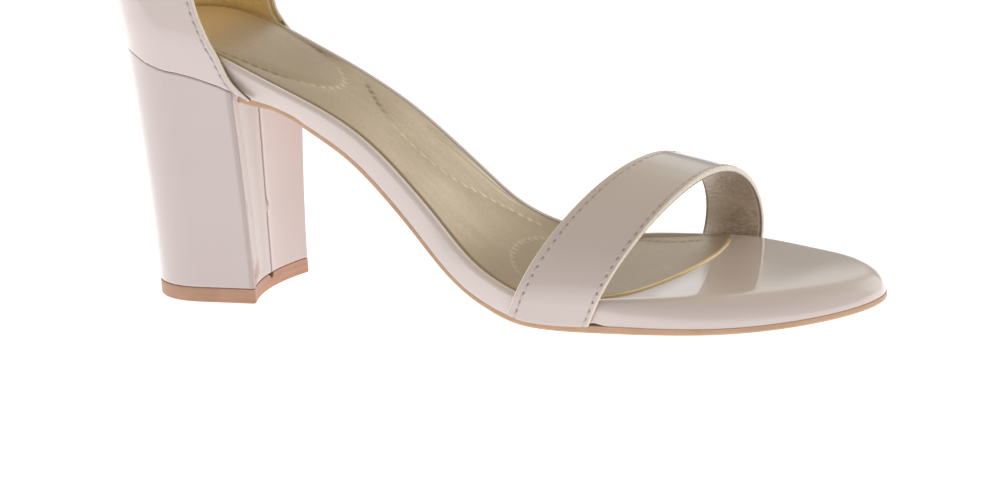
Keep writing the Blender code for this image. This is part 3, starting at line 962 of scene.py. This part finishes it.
def painted_edge(outer, inner, away):
    """Bead of edge paint: a flattened ring carried along the cut edge, its ends drawn together."""
    turn = np.linspace(0, 2 * np.pi, PAINT_STEPS, endpoint=False)
    size = np.ones(len(outer))
    size[[0, -1]] = 0.0
    middle, half = (outer + inner) / 2, (outer - inner) / 2
    swell = np.where(np.sin(turn) > 0, PAINT_PROUD, PAINT_SUNK) * np.sin(turn)
    ring = half[:, None] * np.cos(turn)[:, None] + away[:, None] * swell[:, None]
    return middle[:, None] + ring * size[:, None, None]


def seam_points(path, face):
    """A seam along a path on a face: places, directions along and outward at half pitches, holes first."""
    length = np.linalg.norm(np.diff(path, axis=0), axis=1).sum()
    both = even(np.concatenate([path, face], axis=1), 2 * int(length / STITCH_PITCH) + 1)
    place, up = both[:, :3], both[:, 3:]
    return place, unit(np.gradient(place, axis=0)), up


def pierced_depth(points, place, ahead):
    """How far a sewn face is drawn in, and how dark: a groove along the seam and a dimple at each hole."""
    # The darkness is painted shade in each hole.
    _, which = nearest(points, place[::2])
    reach = points - place[::2][which]
    along = (reach * ahead[::2][which]).sum(axis=-1)
    across = np.sqrt(np.clip((reach**2).sum(axis=-1) - along**2, 0, None))
    dark = np.exp(-(((along / HOLE_LENGTH) ** 2 + (across / HOLE_WIDTH) ** 2) ** 2))
    beside, _ = nearest(points, even(place, 6 * len(place)))
    return GROOVE_DEPTH * bell(beside, GROOVE_WIDTH) + HOLE_DEPTH * dark, dark


BEAD_RINGS = 9
BEAD_AROUND = 8


def stitches(name, middles, ahead, up, finish):
    """A row of stitches as one mesh: each is a rounded grain that dips into the leather at its ends."""
    sweep = np.linspace(0, np.pi, BEAD_RINGS)[:, None]
    turn = np.linspace(0, 2 * np.pi, BEAD_AROUND, endpoint=False)[None]
    fat = np.sin(sweep) ** 0.6
    along = -np.cos(sweep) * STITCH_LENGTH / 2 + 0 * turn
    wide = THREAD_WIDTH * fat * np.cos(turn)
    high = THREAD_HEIGHT * fat * np.sin(turn) - 0.25 * THREAD_HEIGHT * np.cos(sweep) ** 2
    side = np.cross(up, ahead)
    grain = (
        middles[:, None, None]
        + along[..., None] * ahead[:, None, None]
        + wide[..., None] * side[:, None, None]
        + high[..., None] * up[:, None, None]
    )
    index = np.arange(grain.shape[0] * BEAD_RINGS * BEAD_AROUND).reshape(grain.shape[:3])
    after = np.roll(index, -1, axis=2)
    quads = np.stack([index[:, :-1], after[:, :-1], after[:, 1:], index[:, 1:]], axis=-1)
    return solid(name, grain.reshape(-1, 3), quads.reshape(-1, 4), finish)


def waxed_thread(name, colour):
    """Waxed sewing thread: a fine twist across the stitch under a dull shine."""
    made, start = new_finish(name)
    twist = start.noise(1800.0, 2.0, (1.0, 1.0, 0.4))
    start.close({
        "Base Color": twist.step(0.3, 0.7).blend(colour, [0.8 * c for c in colour]),
        "Roughness": twist * 0.2 + 0.42,
        "Normal": start.bump(twist, 0.00008, 0.5),
    })
    return made


def edge_paint(name, pale, warm):
    """Edge paint: a thin satin coat whose cream turns warmer where it is thin over the leather's fibres."""
    made, start = new_finish(name)
    fibre = start.noise(700.0, 3.0)
    start.close({
        "Base Color": fibre.step(0.4, 0.75).blend(pale, warm),
        "Roughness": fibre * 0.2 + 0.36,
        "Coat Weight": 0.25,
        "Coat Roughness": 0.2,
        "Normal": start.bump(fibre, 0.00008, 0.5),
    })
    return made


def lining_leather(name, pale, deep, creases, border, foil):
    """Foiled lining leather: fine creases across the bend and a close grain under a worn metallic sheen.

    Near its cut edges it is darker, and where the mesh is marked a painted highlight shows, as a line beside
    that.
    """
    made, start = new_finish(name)
    crease = start.noise(900.0, 4.0, creases)
    pebble = start.noise(1300.0, 3.0)
    cloud = start.noise(90.0, 2.0)
    colour = (crease * 0.6 + cloud * 0.5).step(0.34, 0.76).blend(pale, deep)
    # Painted highlight where the mesh is marked.
    colour = (start.mark("rubbed") * 0.85).blend(colour, LINING_HIGHLIGHT_PALE)
    colour = (start.mark("border") * 0.8).blend(colour, border)
    start.close({
        "Base Color": colour,
        "Metallic": foil,
        "Roughness": pebble * 0.2 + 0.22,
        "Normal": start.bump(pebble, 0.00006, 0.4, start.bump(crease, 0.0006, 0.6)),
    })
    return made


strap_along = np.concatenate([
    np.linspace(-1, 0, STRAP_FOOT_ROWS)[:-1],
    np.linspace(0, 1, STRAP_ROWS),
    np.linspace(1, 2, STRAP_FOOT_ROWS)[1:],
])[:, None]
edge_share = np.concatenate([EDGE_ROWS, SEAM_ROWS]) / STRAP_WIDTH
face_share = np.concatenate([edge_share, np.linspace(*FACE_SPAN, FACE_COLUMNS), 1 - edge_share[::-1]])
back_share = np.linspace(0, 1, BACK_COLUMNS)[::-1]
edge_lines = {}
for edge, share, sign in (("back", 0.0, -1.0), ("front", 1.0, 1.0)):
    outer, inner = (strap_point(share, strap_along[:, 0], wall) for wall in (0.0, 1.0))
    edge_lines[edge] = outer, inner, *edge_frame(outer, inner, sign)

from_edge = np.minimum(face_share, 1 - face_share) * STRAP_WIDTH
corner = np.clip(1 - from_edge / STRAP_EDGE_ROUND, 0, 1)
face_depth = STRAP_EDGE_ROUND / STRAP_WALL * (1 - np.sqrt(1 - corner**2)) + 0 * strap_along
for crease in STRAP_CREASES:
    face_depth += CREASE_DEPTH / STRAP_WALL * bell((strap_along - crease) * STRAP_LENGTH, CREASE_WIDTH)
strap_face = strap_point(face_share[None], strap_along, 0.0)
strap_dark = np.zeros(face_depth.shape)
strap_seams = {}
for edge, sewn_share in STITCH_SHARE.items():
    path, beside = (strap_point(sewn_share + more, strap_along[:, 0], 0.0) for more in (0.0, SEAM_PROBE))
    outward = unit(np.cross(beside - path, np.gradient(path, axis=0)))
    place, ahead, up = seam_points(path, outward * np.sign((outward * edge_lines[edge][2]).sum()))
    strap_seams[edge] = place[1::2], ahead[1::2], up[1::2]
    drawn, dark = pierced_depth(strap_face, place, ahead)
    # Near the crest the holes' painted shade and the seam's groove fade out.
    crest_fade = 1 - CREST_FADE * bell(strap_along - 0.5, CREST_REACH)
    face_depth += drawn / STRAP_WALL * crest_fade
    strap_dark = np.maximum(strap_dark, dark * crest_fade)


def folded(depth):
    """Wall depths with the first and last rows drawn together, which closes the ends of a band."""
    depth = np.array(depth)
    depth[[0, -1]] = depth.mean()
    return depth


back_depth = np.full((len(strap_along), len(back_share)), UPPER_DEPTH)
upper_depth = folded(np.concatenate([face_depth, back_depth], axis=1))
# The strap's face takes painted shade in its stitch holes.
strap = skin(
    "front_strap_upper",
    strap_point(np.concatenate([face_share, back_share])[None], strap_along, upper_depth),
    patent("patent_strap", NUDE_STRAP, NUDE_STRAP_DEEP, "pierced"),
    pierced=np.concatenate([HOLE_SHADE * strap_dark, 0 * back_depth], axis=1),
)
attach(strap, "root")
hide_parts("front_strap")

lining_share = np.clip(face_share, *LINING_SPAN)
lining_depth = np.concatenate([
    np.full((len(strap_along), len(lining_share)), LINING_DEPTH),
    np.full((len(strap_along), len(lining_share)), 1.0),
], axis=1)
border = np.tile(bell(from_edge, BORDER_WIDTH, 4), 2)
# Painted highlight on the strap's lining: a line just inside each cut edge, and a broad glow towards the
# back edge, where it curves to the light.
bright = bell(lining_share, BACK_HIGHLIGHT)
rubbed = np.maximum(
    np.tile(bell(from_edge - HIGHLIGHT_INSET, HIGHLIGHT_WIDTH), 2),
    np.concatenate([bright, bright[::-1]]),
)
strap_lining = skin(
    "front_strap_lining",
    strap_point(np.concatenate([lining_share, lining_share[::-1]])[None], strap_along, folded(lining_depth)),
    lining_leather("lining_bronze", BRONZE, BRONZE_DEEP, (0.7, 1.1, 1.5), BORDER_BROWN, 0.55),
    border=np.broadcast_to(border, lining_depth.shape), rubbed=np.broadcast_to(rubbed, lining_depth.shape),
)
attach(strap_lining, "root")
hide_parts("front_strap")

cream_paint = edge_paint("edge_cream", EDGE_CREAM, EDGE_PEACH)
nude_thread = waxed_thread("thread_nude", THREAD_NUDE)
for edge, (outer, inner, face, away) in edge_lines.items():
    painted = outer + (inner - outer) * STRAP_PAINTED
    paint = skin(f"front_strap_{edge}_edge", painted_edge(outer, painted, away), cream_paint)
    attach(paint, "root")
    row = stitches(f"front_strap_{edge}_stitches", *strap_seams[edge], nude_thread)
    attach(row, "root")


# Heel counter
# The closed heel cup: patent leather over a golden leather lining, shaped round the heel of the last.
# It is sewn and painted along its front and top edges, and lasted under to the seat.

CUP = Table(
    "height back inward front",
    (0, 0.0, 0.0, 45.5), (1.5, 0.1, 0.0, 41.6), (3, 0.3, 0.0, 39.4), (5.5, 0.6, 0.0, 37.6),
    (8.5, 1.0, 0.0, 35.8), (11, 1.4, 0.1, 33.9), (15, 1.9, 0.4, 31.7), (19.5, 2.4, 0.9, 29.8),
    (24, 2.6, 1.5, 28.6), (32, 2.6, 2.6, 27.6), (40, 2.1, 3.0, 27.2), (48, 1.3, 3.1, 26.8),
    (52, 0.8, 3.2, 25.6), (54.5, 0.4, 3.2, 23.2), (56, 0.2, 3.2, 19.6),
)
CUP_WALL = 2.0
CUP_FULL_BACK = 0.6
MEDIAL_TRIM = 2.4
MEDIAL_TRIM_HEIGHT = 9.0
MEDIAL_TRIM_REACH = 4.5
JOINT_FADE = 16.0

# The joint of cup and heel, over the line of the seat: it climbs at the back and sags along the side.
JOINT_LINE = Table(
    "station rise",
    (-4, 2.3), (3, 2.2), (7, 1.8), (13, 0.2), (20, -1.2), (30, -1.0), (40, -0.4),
)
CUP_ROWS = 130
CUP_EDGE_ROWS = 24
CUP_EDGE_START = 51.0
CUP_COLUMNS = 70
CUP_EDGE_COLUMNS = 16
CUP_EDGE_SHARE = 0.075
NUDE_CUP = (0.85, 0.735, 0.747)
NUDE_CUP_DEEP = (0.825, 0.71, 0.722)
GOLDEN = (0.95, 0.76, 0.40)
GOLDEN_DEEP = (0.84, 0.65, 0.31)
GOLDEN_BORDER = (0.50, 0.33, 0.14)
RIM_BORDER_WIDTH = 0.8
# Inset and width of a line of painted highlight inside the rim of the cup's lining.
RIM_HIGHLIGHT_INSET = 1.4
RIM_HIGHLIGHT_WIDTH = 0.4
RIM_CREAM = (0.98, 0.90, 0.80)
RIM_PEACH = (0.95, 0.83, 0.69)
# Colours of a bead of painted shade at the rim's lower ends.
RIM_SHADE_BEAD = (0.20, 0.15, 0.125)
RIM_SHADE_BEAD_DARK = (0.13, 0.095, 0.08)
RIM_POINTS = 520
RIM_END = 14
RIM_INSET = 1.5
RIM_HOLE_DEPTH = 0.15
# Rim points that the bead of painted shade runs along at each end.
RIM_SHADE_POINTS = 44
RIM_PAINTED = 0.65
RIM_SKIVED = 0.35
RIM_SKIVE_POINTS = 50


def above_bed(s, y, height):
    """Points straight above the tread line, as far from it as on_bed puts them."""
    return np.stack([s, y, tread(s) + height * np.hypot(1, tread_slope(s))], axis=-1)


def joint_rise(s):
    """Lift of the joint between cup and heel at each station."""
    return JOINT_LINE.read("rise", np.clip(s, *JOINT_LINE.places[[0, -1]]))


def cup_face(height, share):
    """Outer face of the cup at heights over the seat and shares of the way round, from -1 to 1.

    Each row is the seat outline, one wall outside the last, from its back to the row's front station.
    It is drawn out to the back, narrowed and lifted by what the table gives for its height.
    """
    back, inward, front = (CUP.read(name, height) for name in ("back", "inward", "front"))
    stretch = (BREAST_STATION + back + CUP_FULL_BACK + CUP_WALL) / (BREAST_STATION + CUP_WALL)
    trim = MEDIAL_TRIM * bell(height - MEDIAL_TRIM_HEIGHT, MEDIAL_TRIM_REACH)
    halves = []
    for side, part in ((-1, share[share < 0]), (1, share[share >= 0])):
        end = front - trim if side > 0 else front
        end = BREAST_STATION - (BREAST_STATION - end) / stretch
        s, y = last_side(side, CUP_WALL)
        run = np.concatenate([[0.0], np.cumsum(np.hypot(np.diff(s), np.diff(y)))])
        at = np.abs(part)[None] * np.interp(end, s, run)[:, None]
        place_s, place_y = np.interp(at, run, s), np.interp(at, run, y)
        widest = np.interp(end, s, np.maximum.accumulate(np.abs(y)))
        points = above_bed(place_s, place_y, seat_height(place_s) + GAP)
        points[..., 2] += joint_rise(place_s) * (1 - ease(height, 0, JOINT_FADE))[:, None]
        points[..., 0] = BREAST_STATION - (BREAST_STATION - place_s) * stretch[:, None]
        points[..., 1] *= (1 - inward / widest)[:, None]
        points[..., 2] += height[:, None]
        halves.append(points)
    return np.concatenate(halves, axis=1)


cup_heights = np.concatenate([
    np.linspace(0, CUP_EDGE_START, CUP_ROWS)[:-1],
    np.linspace(CUP_EDGE_START, CUP.places[-1], CUP_EDGE_ROWS),
])
fine = np.linspace(0, CUP_EDGE_SHARE, CUP_EDGE_COLUMNS)
one_side = np.concatenate([1 - fine, np.linspace(1 - fine[-1], 0, CUP_COLUMNS)[1:-1]])
cup_share = np.concatenate([-one_side, [0.0], one_side[::-1]])
cup_outer = cup_face(cup_heights, cup_share)
cup_inward = unit(np.cross(np.gradient(cup_outer, axis=1), np.gradient(cup_outer, axis=0)))
cup_inward[0, :, 2] = 0.0
cup_inner = cup_outer + CUP_WALL * cup_inward


def rim(face):
    """The cup's open edge: up the lateral front, along the top and down the medial front."""
    return np.concatenate([face[:-1, 0], face[-1, :-1], face[::-1, -1]])


rim_pair = even(np.concatenate([rim(cup_outer), rim(cup_inner)], axis=1), RIM_POINTS)
rim_outer, rim_inner = rim_pair[:, :3], rim_pair[:, 3:]
rim_face, rim_away = edge_frame(rim_outer, rim_inner, 1.0)
sewn = slice(RIM_END, -RIM_END)
rim_place, rim_ahead, rim_up = seam_points((rim_outer - RIM_INSET * rim_away)[sewn], rim_face[sewn])
_, cup_dark = pierced_depth(cup_outer, rim_place, rim_ahead)
from_rim, _ = nearest(cup_outer, rim_outer)
corner = np.clip(1 - from_rim / STRAP_EDGE_ROUND, 0, 1)
cup_depth = RIM_HOLE_DEPTH * cup_dark / CUP_WALL
cup_depth += STRAP_EDGE_ROUND / CUP_WALL * (1 - np.sqrt(1 - corner**2))


def cup_wall(near, far):
    """Rings of a layer of the cup between two depths of its wall, one ring for each way round."""
    walls = [cup_outer + CUP_WALL * cup_inward * depth for depth in (near, far)]
    rings = np.concatenate([walls[0], walls[1][::-1]], axis=0).transpose(1, 0, 2)
    folded_ends = (rings + rings[:, ::-1]) / 2
    rings[[0, -1]] = folded_ends[[0, -1]]
    return rings


# The cup's face takes painted shade in its stitch holes.
counter = skin(
    "heel_counter_upper", cup_wall(cup_depth[..., None], UPPER_DEPTH),
    patent("patent_cup", NUDE_CUP, NUDE_CUP_DEEP, "pierced"),
    pierced=np.concatenate([cup_dark, 0 * cup_dark], axis=0).T,
)
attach(counter, "root")
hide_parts("heel_counter")

border = bell(from_rim, RIM_BORDER_WIDTH, 4)
# Painted highlight: a line on the golden lining just inside its rim.
rubbed = bell(from_rim - RIM_HIGHLIGHT_INSET, RIM_HIGHLIGHT_WIDTH)
counter_lining = skin(
    "heel_counter_lining", cup_wall(LINING_DEPTH, 1.0),
    lining_leather("lining_golden", GOLDEN, GOLDEN_DEEP, (0.4, 0.4, 0.3), GOLDEN_BORDER, 0.25),
    border=np.concatenate([border, border[::-1]]).T, rubbed=np.concatenate([rubbed, rubbed[::-1]]).T,
)
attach(counter_lining, "root")
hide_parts("heel_counter")

from_end = np.minimum(np.arange(RIM_POINTS), np.arange(RIM_POINTS)[::-1])
thin = RIM_SKIVED + (RIM_PAINTED - RIM_SKIVED) * ease(from_end, 0, RIM_SKIVE_POINTS)
painted = rim_outer + (rim_inner - rim_outer) * thin[:, None]
counter_paint = skin(
    "heel_counter_edge", painted_edge(rim_outer, painted, rim_away),
    edge_paint("rim_cream", RIM_CREAM, RIM_PEACH),
)
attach(counter_paint, "root")
# Painted shade: a dark bead on the lining's cut edge at each lower end of the rim, for the shadow in the gap
# beside the rand.
shade_bead_paint = edge_paint("rim_shade_bead", RIM_SHADE_BEAD, RIM_SHADE_BEAD_DARK)
for side, tip_end in (("lateral", slice(RIM_SHADE_POINTS)), ("medial", slice(-RIM_SHADE_POINTS, None))):
    shade_bead_rings = painted_edge(painted[tip_end], rim_inner[tip_end], rim_away[tip_end])
    counter_shade_bead = skin(f"heel_counter_{side}_shade_bead", shade_bead_rings, shade_bead_paint)
    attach(counter_shade_bead, "root")
counter_stitches = stitches(
    "heel_counter_stitches", rim_place[1::2], rim_ahead[1::2], rim_up[1::2], nude_thread,
)
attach(counter_stitches, "root")


# Heel block
# A moulded block covered in patent leather. The cover is drawn round the back and both sides,
# and its two edges meet in an upright seam in the middle of the hollowed breast.

BREAST_CORNER = 1.2
BREAST_CROWD = 0.3
HEEL_FOOT_BACK = 1.2
HEEL_FOOT_WIDTH = 38.6
HEEL_FOOT_SHIFT = -1.5
HEEL_FLARE_POWER = 1.5
TIP_THICKNESS = 4.5
HEEL_SIDE_POINTS = 110
CORNER_POINTS = 9
HEEL_LEVELS = 150
HEEL_TURN = 0.55
HEEL_TURN_STEPS = 6
CAP_STEPS = 4
SEAM_WIDTH = 0.42
SEAM_DEPTH = 0.3
SEAM_LIP = 0.16
SEAM_LIP_WIDTH = 1.3
NUB_LEVEL = 0.33
NUB_LENGTH = 1.6
NUB_ASIDE = 0.5
NUB_COVERS = 0.8
NUB_WIDTH = 0.9
NUB_RISE = 0.55
# The heel's nude is the cup's patent painted darker, as painted shade that tones down the light on the
# breast.
NUDE_HEEL_SHADED = (0.705, 0.60, 0.608)
NUDE_HEEL_SHADED_DEEP = (0.685, 0.58, 0.588)
# Painted shade on the breast: along its near corner, and over its near strip.
CORNER_SHADE = 0.35
NEAR_SHADE = 0.3
NEAR_SHADE_SPAN = (1.0, 4.0)
# Colour of the seam line, and of the painted shade beside it.
SEAM_AND_SHADE_GREY = (0.35, 0.31, 0.31)


def heel_outline():
    """Outline of the heel's top: round the back from corner to corner, then the hollow breast.

    The corners are quarter rounds. The breast's points crowd together at its middle, where its seam is.
    """
    end = BREAST_STATION - BREAST_CORNER
    lateral, medial = (side_run(side, CUP_WALL, -CUP_WALL, end, HEEL_SIDE_POINTS) for side in (-1, 1))
    back = np.concatenate([medial[::-1], lateral[1:]])
    high, low = back[0, 1] - BREAST_CORNER, back[-1, 1] + BREAST_CORNER
    turn = np.linspace(0, np.pi / 2, CORNER_POINTS)
    corner_s = end + BREAST_CORNER * np.sin(turn)
    corner_y = BREAST_CORNER * np.cos(turn)
    way = np.linspace(1, -1, len(back) - 2 * CORNER_POINTS + 2)[1:-1]
    across = (high + low) / 2 + (high - low) / 2 * way * (BREAST_CROWD + (1 - BREAST_CROWD) * way**2)
    hollow = breast(across - (high + low) / 2, (high - low) / 2)
    front = np.concatenate([
        np.stack([corner_s, high + corner_y], axis=1),
        np.stack([hollow, across], axis=1),
        np.stack([corner_s, low - corner_y], axis=1)[::-1],
    ])
    return closed(back, front)


def heel_foot(outline):
    """The heel's outline drawn in to its foot."""
    s, y = outline.T
    along = (s + CUP_WALL) / (BREAST_STATION + CUP_WALL)
    narrow = HEEL_FOOT_WIDTH / (y.max() - y.min())
    foot_s = HEEL_FOOT_BACK + along * (BREAST_STATION - HEEL_FOOT_BACK)
    return np.stack([foot_s, y * narrow + HEEL_FOOT_SHIFT], axis=1)


def drawn_in(rings, distance):
    """Level rings moved in square to themselves, each by its own distance."""
    ahead = unit((np.roll(rings, -1, axis=1) - np.roll(rings, 1, axis=1))[..., :2])
    step = np.stack([-ahead[..., 1], ahead[..., 0], 0 * ahead[..., 0]], axis=-1)
    return rings + step * distance


def capped(rings):
    """The rings with both ends closed: each end ring is drawn together on the line midway across it."""
    facing = np.roll(rings[[0, -1], ::-1], 1, axis=1)
    middle = (rings[[0, -1]] + facing) / 2
    shares = np.linspace(1, 0, CAP_STEPS, endpoint=False)[:, None, None]
    foot = rings[0] + (middle[0] - rings[0]) * shares
    top = rings[-1] + (middle[1] - rings[-1]) * shares[::-1]
    return np.concatenate([foot, rings, top])


outline = heel_outline()
heel_top = above_bed(outline[:, 0], outline[:, 1], seat_height(outline[:, 0]))
heel_top[:, 2] += joint_rise(outline[:, 0])
fuller = (BREAST_STATION + CUP_WALL + CUP_FULL_BACK) / (BREAST_STATION + CUP_WALL)
heel_top[:, 0] = BREAST_STATION - (BREAST_STATION - heel_top[:, 0]) * fuller
foot = heel_foot(outline)
heel_base = np.column_stack([foot, np.full(len(foot), TIP_THICKNESS + CONTACT)])
turned = round_edge(HEEL_TURN, HEEL_TURN_STEPS)
turn_in, turn_drop = np.array(turned[::-1]).T
rise = (heel_top[:, 2] - heel_base[:, 2]).mean()
levels = np.concatenate([
    turn_drop / rise,
    np.linspace(HEEL_TURN, rise - HEEL_TURN, HEEL_LEVELS)[1:-1] / rise,
    1 - turn_drop[::-1] / rise,
])
pulled = np.concatenate([turn_in, np.zeros(HEEL_LEVELS - 2), turn_in[::-1]])
share = np.stack([levels**HEEL_FLARE_POWER] * 2 + [levels], axis=1)[:, None]
heel_rings = heel_base + (heel_top - heel_base) * share
heel_rings = drawn_in(heel_rings, pulled[:, None, None])

breast_start = 2 * HEEL_SIDE_POINTS - 1
breast_part = np.zeros(len(outline))
breast_part[breast_start:] = 1.0
seam_y = heel_rings[:, breast_start:, 1].mean(axis=1, keepdims=True)
beside = heel_rings[..., 1] - seam_y
nub = bell((levels[:, None] - NUB_LEVEL) * rise, NUB_LENGTH)
seam_and_shade = bell(beside, SEAM_WIDTH) * breast_part * (1 - NUB_COVERS * nub)
lip = SEAM_LIP * bell(beside, SEAM_LIP_WIDTH) * breast_part
bulge = NUB_RISE * bell(beside - NUB_ASIDE, NUB_WIDTH) * nub * breast_part
heel_rings[..., 0] += lip + bulge - SEAM_DEPTH * seam_and_shade
# The seam's mark also carries painted shade over the breast's near strip and along its near corner.
seam_and_shade = np.maximum(seam_and_shade, NEAR_SHADE * ease(-beside, *NEAR_SHADE_SPAN) * breast_part)
seam_and_shade[:, breast_start - 1:breast_start + 4] = CORNER_SHADE
closed_mark = np.pad(seam_and_shade, ((CAP_STEPS, CAP_STEPS), (0, 0)))
heel = skin(
    "heel_cover", capped(heel_rings), patent("patent_heel", NUDE_HEEL_SHADED, NUDE_HEEL_SHADED_DEEP, "seam", SEAM_AND_SHADE_GREY),
    seam=closed_mark,
)
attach(heel, "root")
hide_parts("heel_block")


# Heel tip
# The tan top piece that the heel stands on: a moulded slab of hard rubber with broken edges,
# nailed under the block. A small nick at the breast takes the end of the cover's seam.

TIP_EDGE = 0.5
TIP_EDGE_STEPS = 5
TIP_LEVELS = 18
NICK_WIDTH = 1.3
NICK_DEPTH = 1.4
TIP_TAN = (0.61, 0.355, 0.245)
TIP_TAN_DARK = (0.50, 0.275, 0.185)

broken = np.array(round_edge(TIP_EDGE, TIP_EDGE_STEPS)[::-1])
heights = np.concatenate([
    broken[:, 1],
    np.linspace(TIP_EDGE, TIP_THICKNESS - TIP_EDGE / 2, TIP_LEVELS)[1:],
    TIP_THICKNESS - broken[::-1, 1] / 2,
])
pulled = np.concatenate([broken[:, 0], np.zeros(TIP_LEVELS - 1), broken[::-1, 0] / 2])
tip_rings = np.concatenate([
    np.broadcast_to(foot, (len(heights), *foot.shape)),
    np.broadcast_to(heights[:, None, None], (len(heights), len(foot), 1)),
], axis=2)
tip_rings = drawn_in(tip_rings, pulled[:, None, None])
nick_y = foot[breast_start:, 1].mean()
nick = bell(foot[:, 1] - nick_y, NICK_WIDTH, 4) * breast_part
tip_rings[..., 2] -= NICK_DEPTH * nick * (heights[:, None] / TIP_THICKNESS) ** 2
tip = skin("heel_tip_rubber", capped(tip_rings), waxed_tan("tip_tan_rubber", TIP_TAN, TIP_TAN_DARK, 0.55))
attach(tip, "root")
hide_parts("heel_tip")


# Floor and light
# A pale table under the shoe, lit from below, with a bright backdrop, a card and a window behind it.
# A dimmer studio lies in front and above.

FLOOR_REACH = 6.0
FLOOR_DROP = 0.0002
FLOOR_WHITE = (0.42, 0.42, 0.42)
FLOOR_GLOW = 1.0
FLOOR_FADE = (-1.0, -0.6)
FLOOR_DIM = (0.30, 0.28, 0.25)

# The sky's colours, each with the spans ahead, aside or above over which it fades.
SKY_ROUND = (0.42, 0.41, 0.40)
ROUND_ASIDE = (-0.8, -0.15)
SKY_FRONT = (0.23, 0.21, 0.17)
FRONT_AHEAD = (0.2, 0.8)
SKY_LEFT = (1.15, 1.15, 1.19)
LEFT_BEHIND = (0.75, 0.97)
SKY_OVER_FRONT = (0.30, 0.275, 0.21)
SKY_OVER_BACK = (0.70, 0.655, 0.54)
OVER_ASIDE = (-0.75, 0.1)
OVER_ABOVE = (0.22, 0.5)
SKY_LOW = (0.75, 0.75, 0.75)
LOW_ABOVE = (0.08, 0.22)
LOW_ASIDE = (-0.95, -0.5)
SKY_HORIZON = (1.0, 1.0, 1.05)
HORIZON_ABOVE = (0.03, 0.1)
HORIZON_ASIDE = (0.2, 0.5)

# Lamps and a dark flag on the sky: which way each lies, its glow, and where its soft edge starts and ends.
Lamp = namedtuple("Lamp", "towards glow rim full")
LAMPS = {
    "window": Lamp((0.45, 0.82, 0.35), (1.2, 1.2, 1.15), 0.88, 0.975),
    "panel": Lamp((-0.29, 0.85, 0.43), (0.86, 0.86, 0.83), 0.95, 0.998),
    "flag": Lamp((-0.45, 0.88, 0.15), (0.32, 0.30, 0.255), 0.972, 0.988),
}

CARD_GLOW = 0.38
CARD_TINT = (0.95, 1.0, 1.1)
CARD_SIZE = (0.50, 0.27)
CARD_EDGE = 0.073
CARD_DISTANCE = 0.45
CARD_HEIGHT = 0.195


def pale_table(name):
    """Pale table: near white, faintly clouded, lit from below by a glow that fades on its near side."""
    made, start = new_finish(name)
    cloud = start.noise(3.0, 2.0)
    place = start.node("TexCoord", {}, {}, "Object")
    aside = start.node("SeparateXYZ", {}, {0: place}, "Y")
    start.close({
        "Base Color": cloud.blend(FLOOR_WHITE, [0.985 * c for c in FLOOR_WHITE]),
        "Roughness": 0.7,
        "Emission Color": aside.step(*FLOOR_FADE).blend(FLOOR_DIM, (1.0, 1.0, 1.0)),
        "Emission Strength": FLOOR_GLOW,
    })
    return made


floor_mesh = bpy.data.meshes.new("floor")
reach = np.array([[-1, -1], [1, -1], [1, 1], [-1, 1]]) * FLOOR_REACH
floor_mesh.from_pydata([(*corner, -FLOOR_DROP) for corner in reach.tolist()], [], [(0, 1, 2, 3)])
floor_mesh.materials.append(pale_table("floor_pale"))
floor = bpy.data.objects.new("floor", floor_mesh)
bpy.context.scene.collection.objects.link(floor)

# A lit card behind the shoe, square to the line in which the camera's view is mirrored in the toe cover.
mirrored = np.array([-np.sin(VIEW_AZIMUTH), np.cos(VIEW_AZIMUTH), 0.0])
rightward = np.array([np.cos(VIEW_AZIMUTH), np.sin(VIEW_AZIMUTH), 0.0])
middle = mirrored * CARD_DISTANCE + rightward * (CARD_EDGE - CARD_SIZE[0] / 2) + [0, 0, CARD_HEIGHT]
card = placed("card", bpy.data.lights.new("card", "AREA"), (-rightward, (0, 0, 1), mirrored), middle)
card.data.shape = "RECTANGLE"
card.data.size, card.data.size_y = CARD_SIZE
card.data.energy = CARD_GLOW * np.pi * CARD_SIZE[0] * CARD_SIZE[1]
card.data.color = CARD_TINT

world = bpy.data.worlds.new("studio")
world.use_nodes = True
bpy.context.scene.world = world
sky = Wire(world.node_tree)
direction = sky.node("TexCoord", {}, {}, "Generated")
ahead = sky.node("SeparateXYZ", {}, {0: direction}, "X")
aside = sky.node("SeparateXYZ", {}, {0: direction}, "Y")
above = sky.node("SeparateXYZ", {}, {0: direction}, "Z")
colour = aside.step(*ROUND_ASIDE).blend(SKY_FRONT, SKY_ROUND)
colour = ahead.step(*FRONT_AHEAD).blend(colour, SKY_FRONT)
colour = (0 - ahead).step(*LEFT_BEHIND).blend(colour, SKY_LEFT)
overhead = aside.step(*OVER_ASIDE).blend(SKY_OVER_FRONT, SKY_OVER_BACK)
colour = above.step(*OVER_ABOVE).blend(colour, overhead)
for lamp in LAMPS.values():
    facing = sky.node("VectorMath", {"operation": "DOT_PRODUCT"}, {0: direction, 1: lamp.towards}, "Value")
    colour = facing.step(lamp.rim, lamp.full).blend(colour, lamp.glow)
low_front = (1 - above.step(*LOW_ABOVE)) * (1 - aside.step(*LOW_ASIDE))
colour = low_front.blend(colour, SKY_LOW)
low_back = (1 - above.step(*HORIZON_ABOVE)) * aside.step(*HORIZON_ASIDE)
colour = low_back.blend(colour, SKY_HORIZON)
sky.feed(world.node_tree.nodes["Background"], {"Color": colour, "Strength": 1.0})
bpy.context.scene.view_settings.view_transform = "Standard"
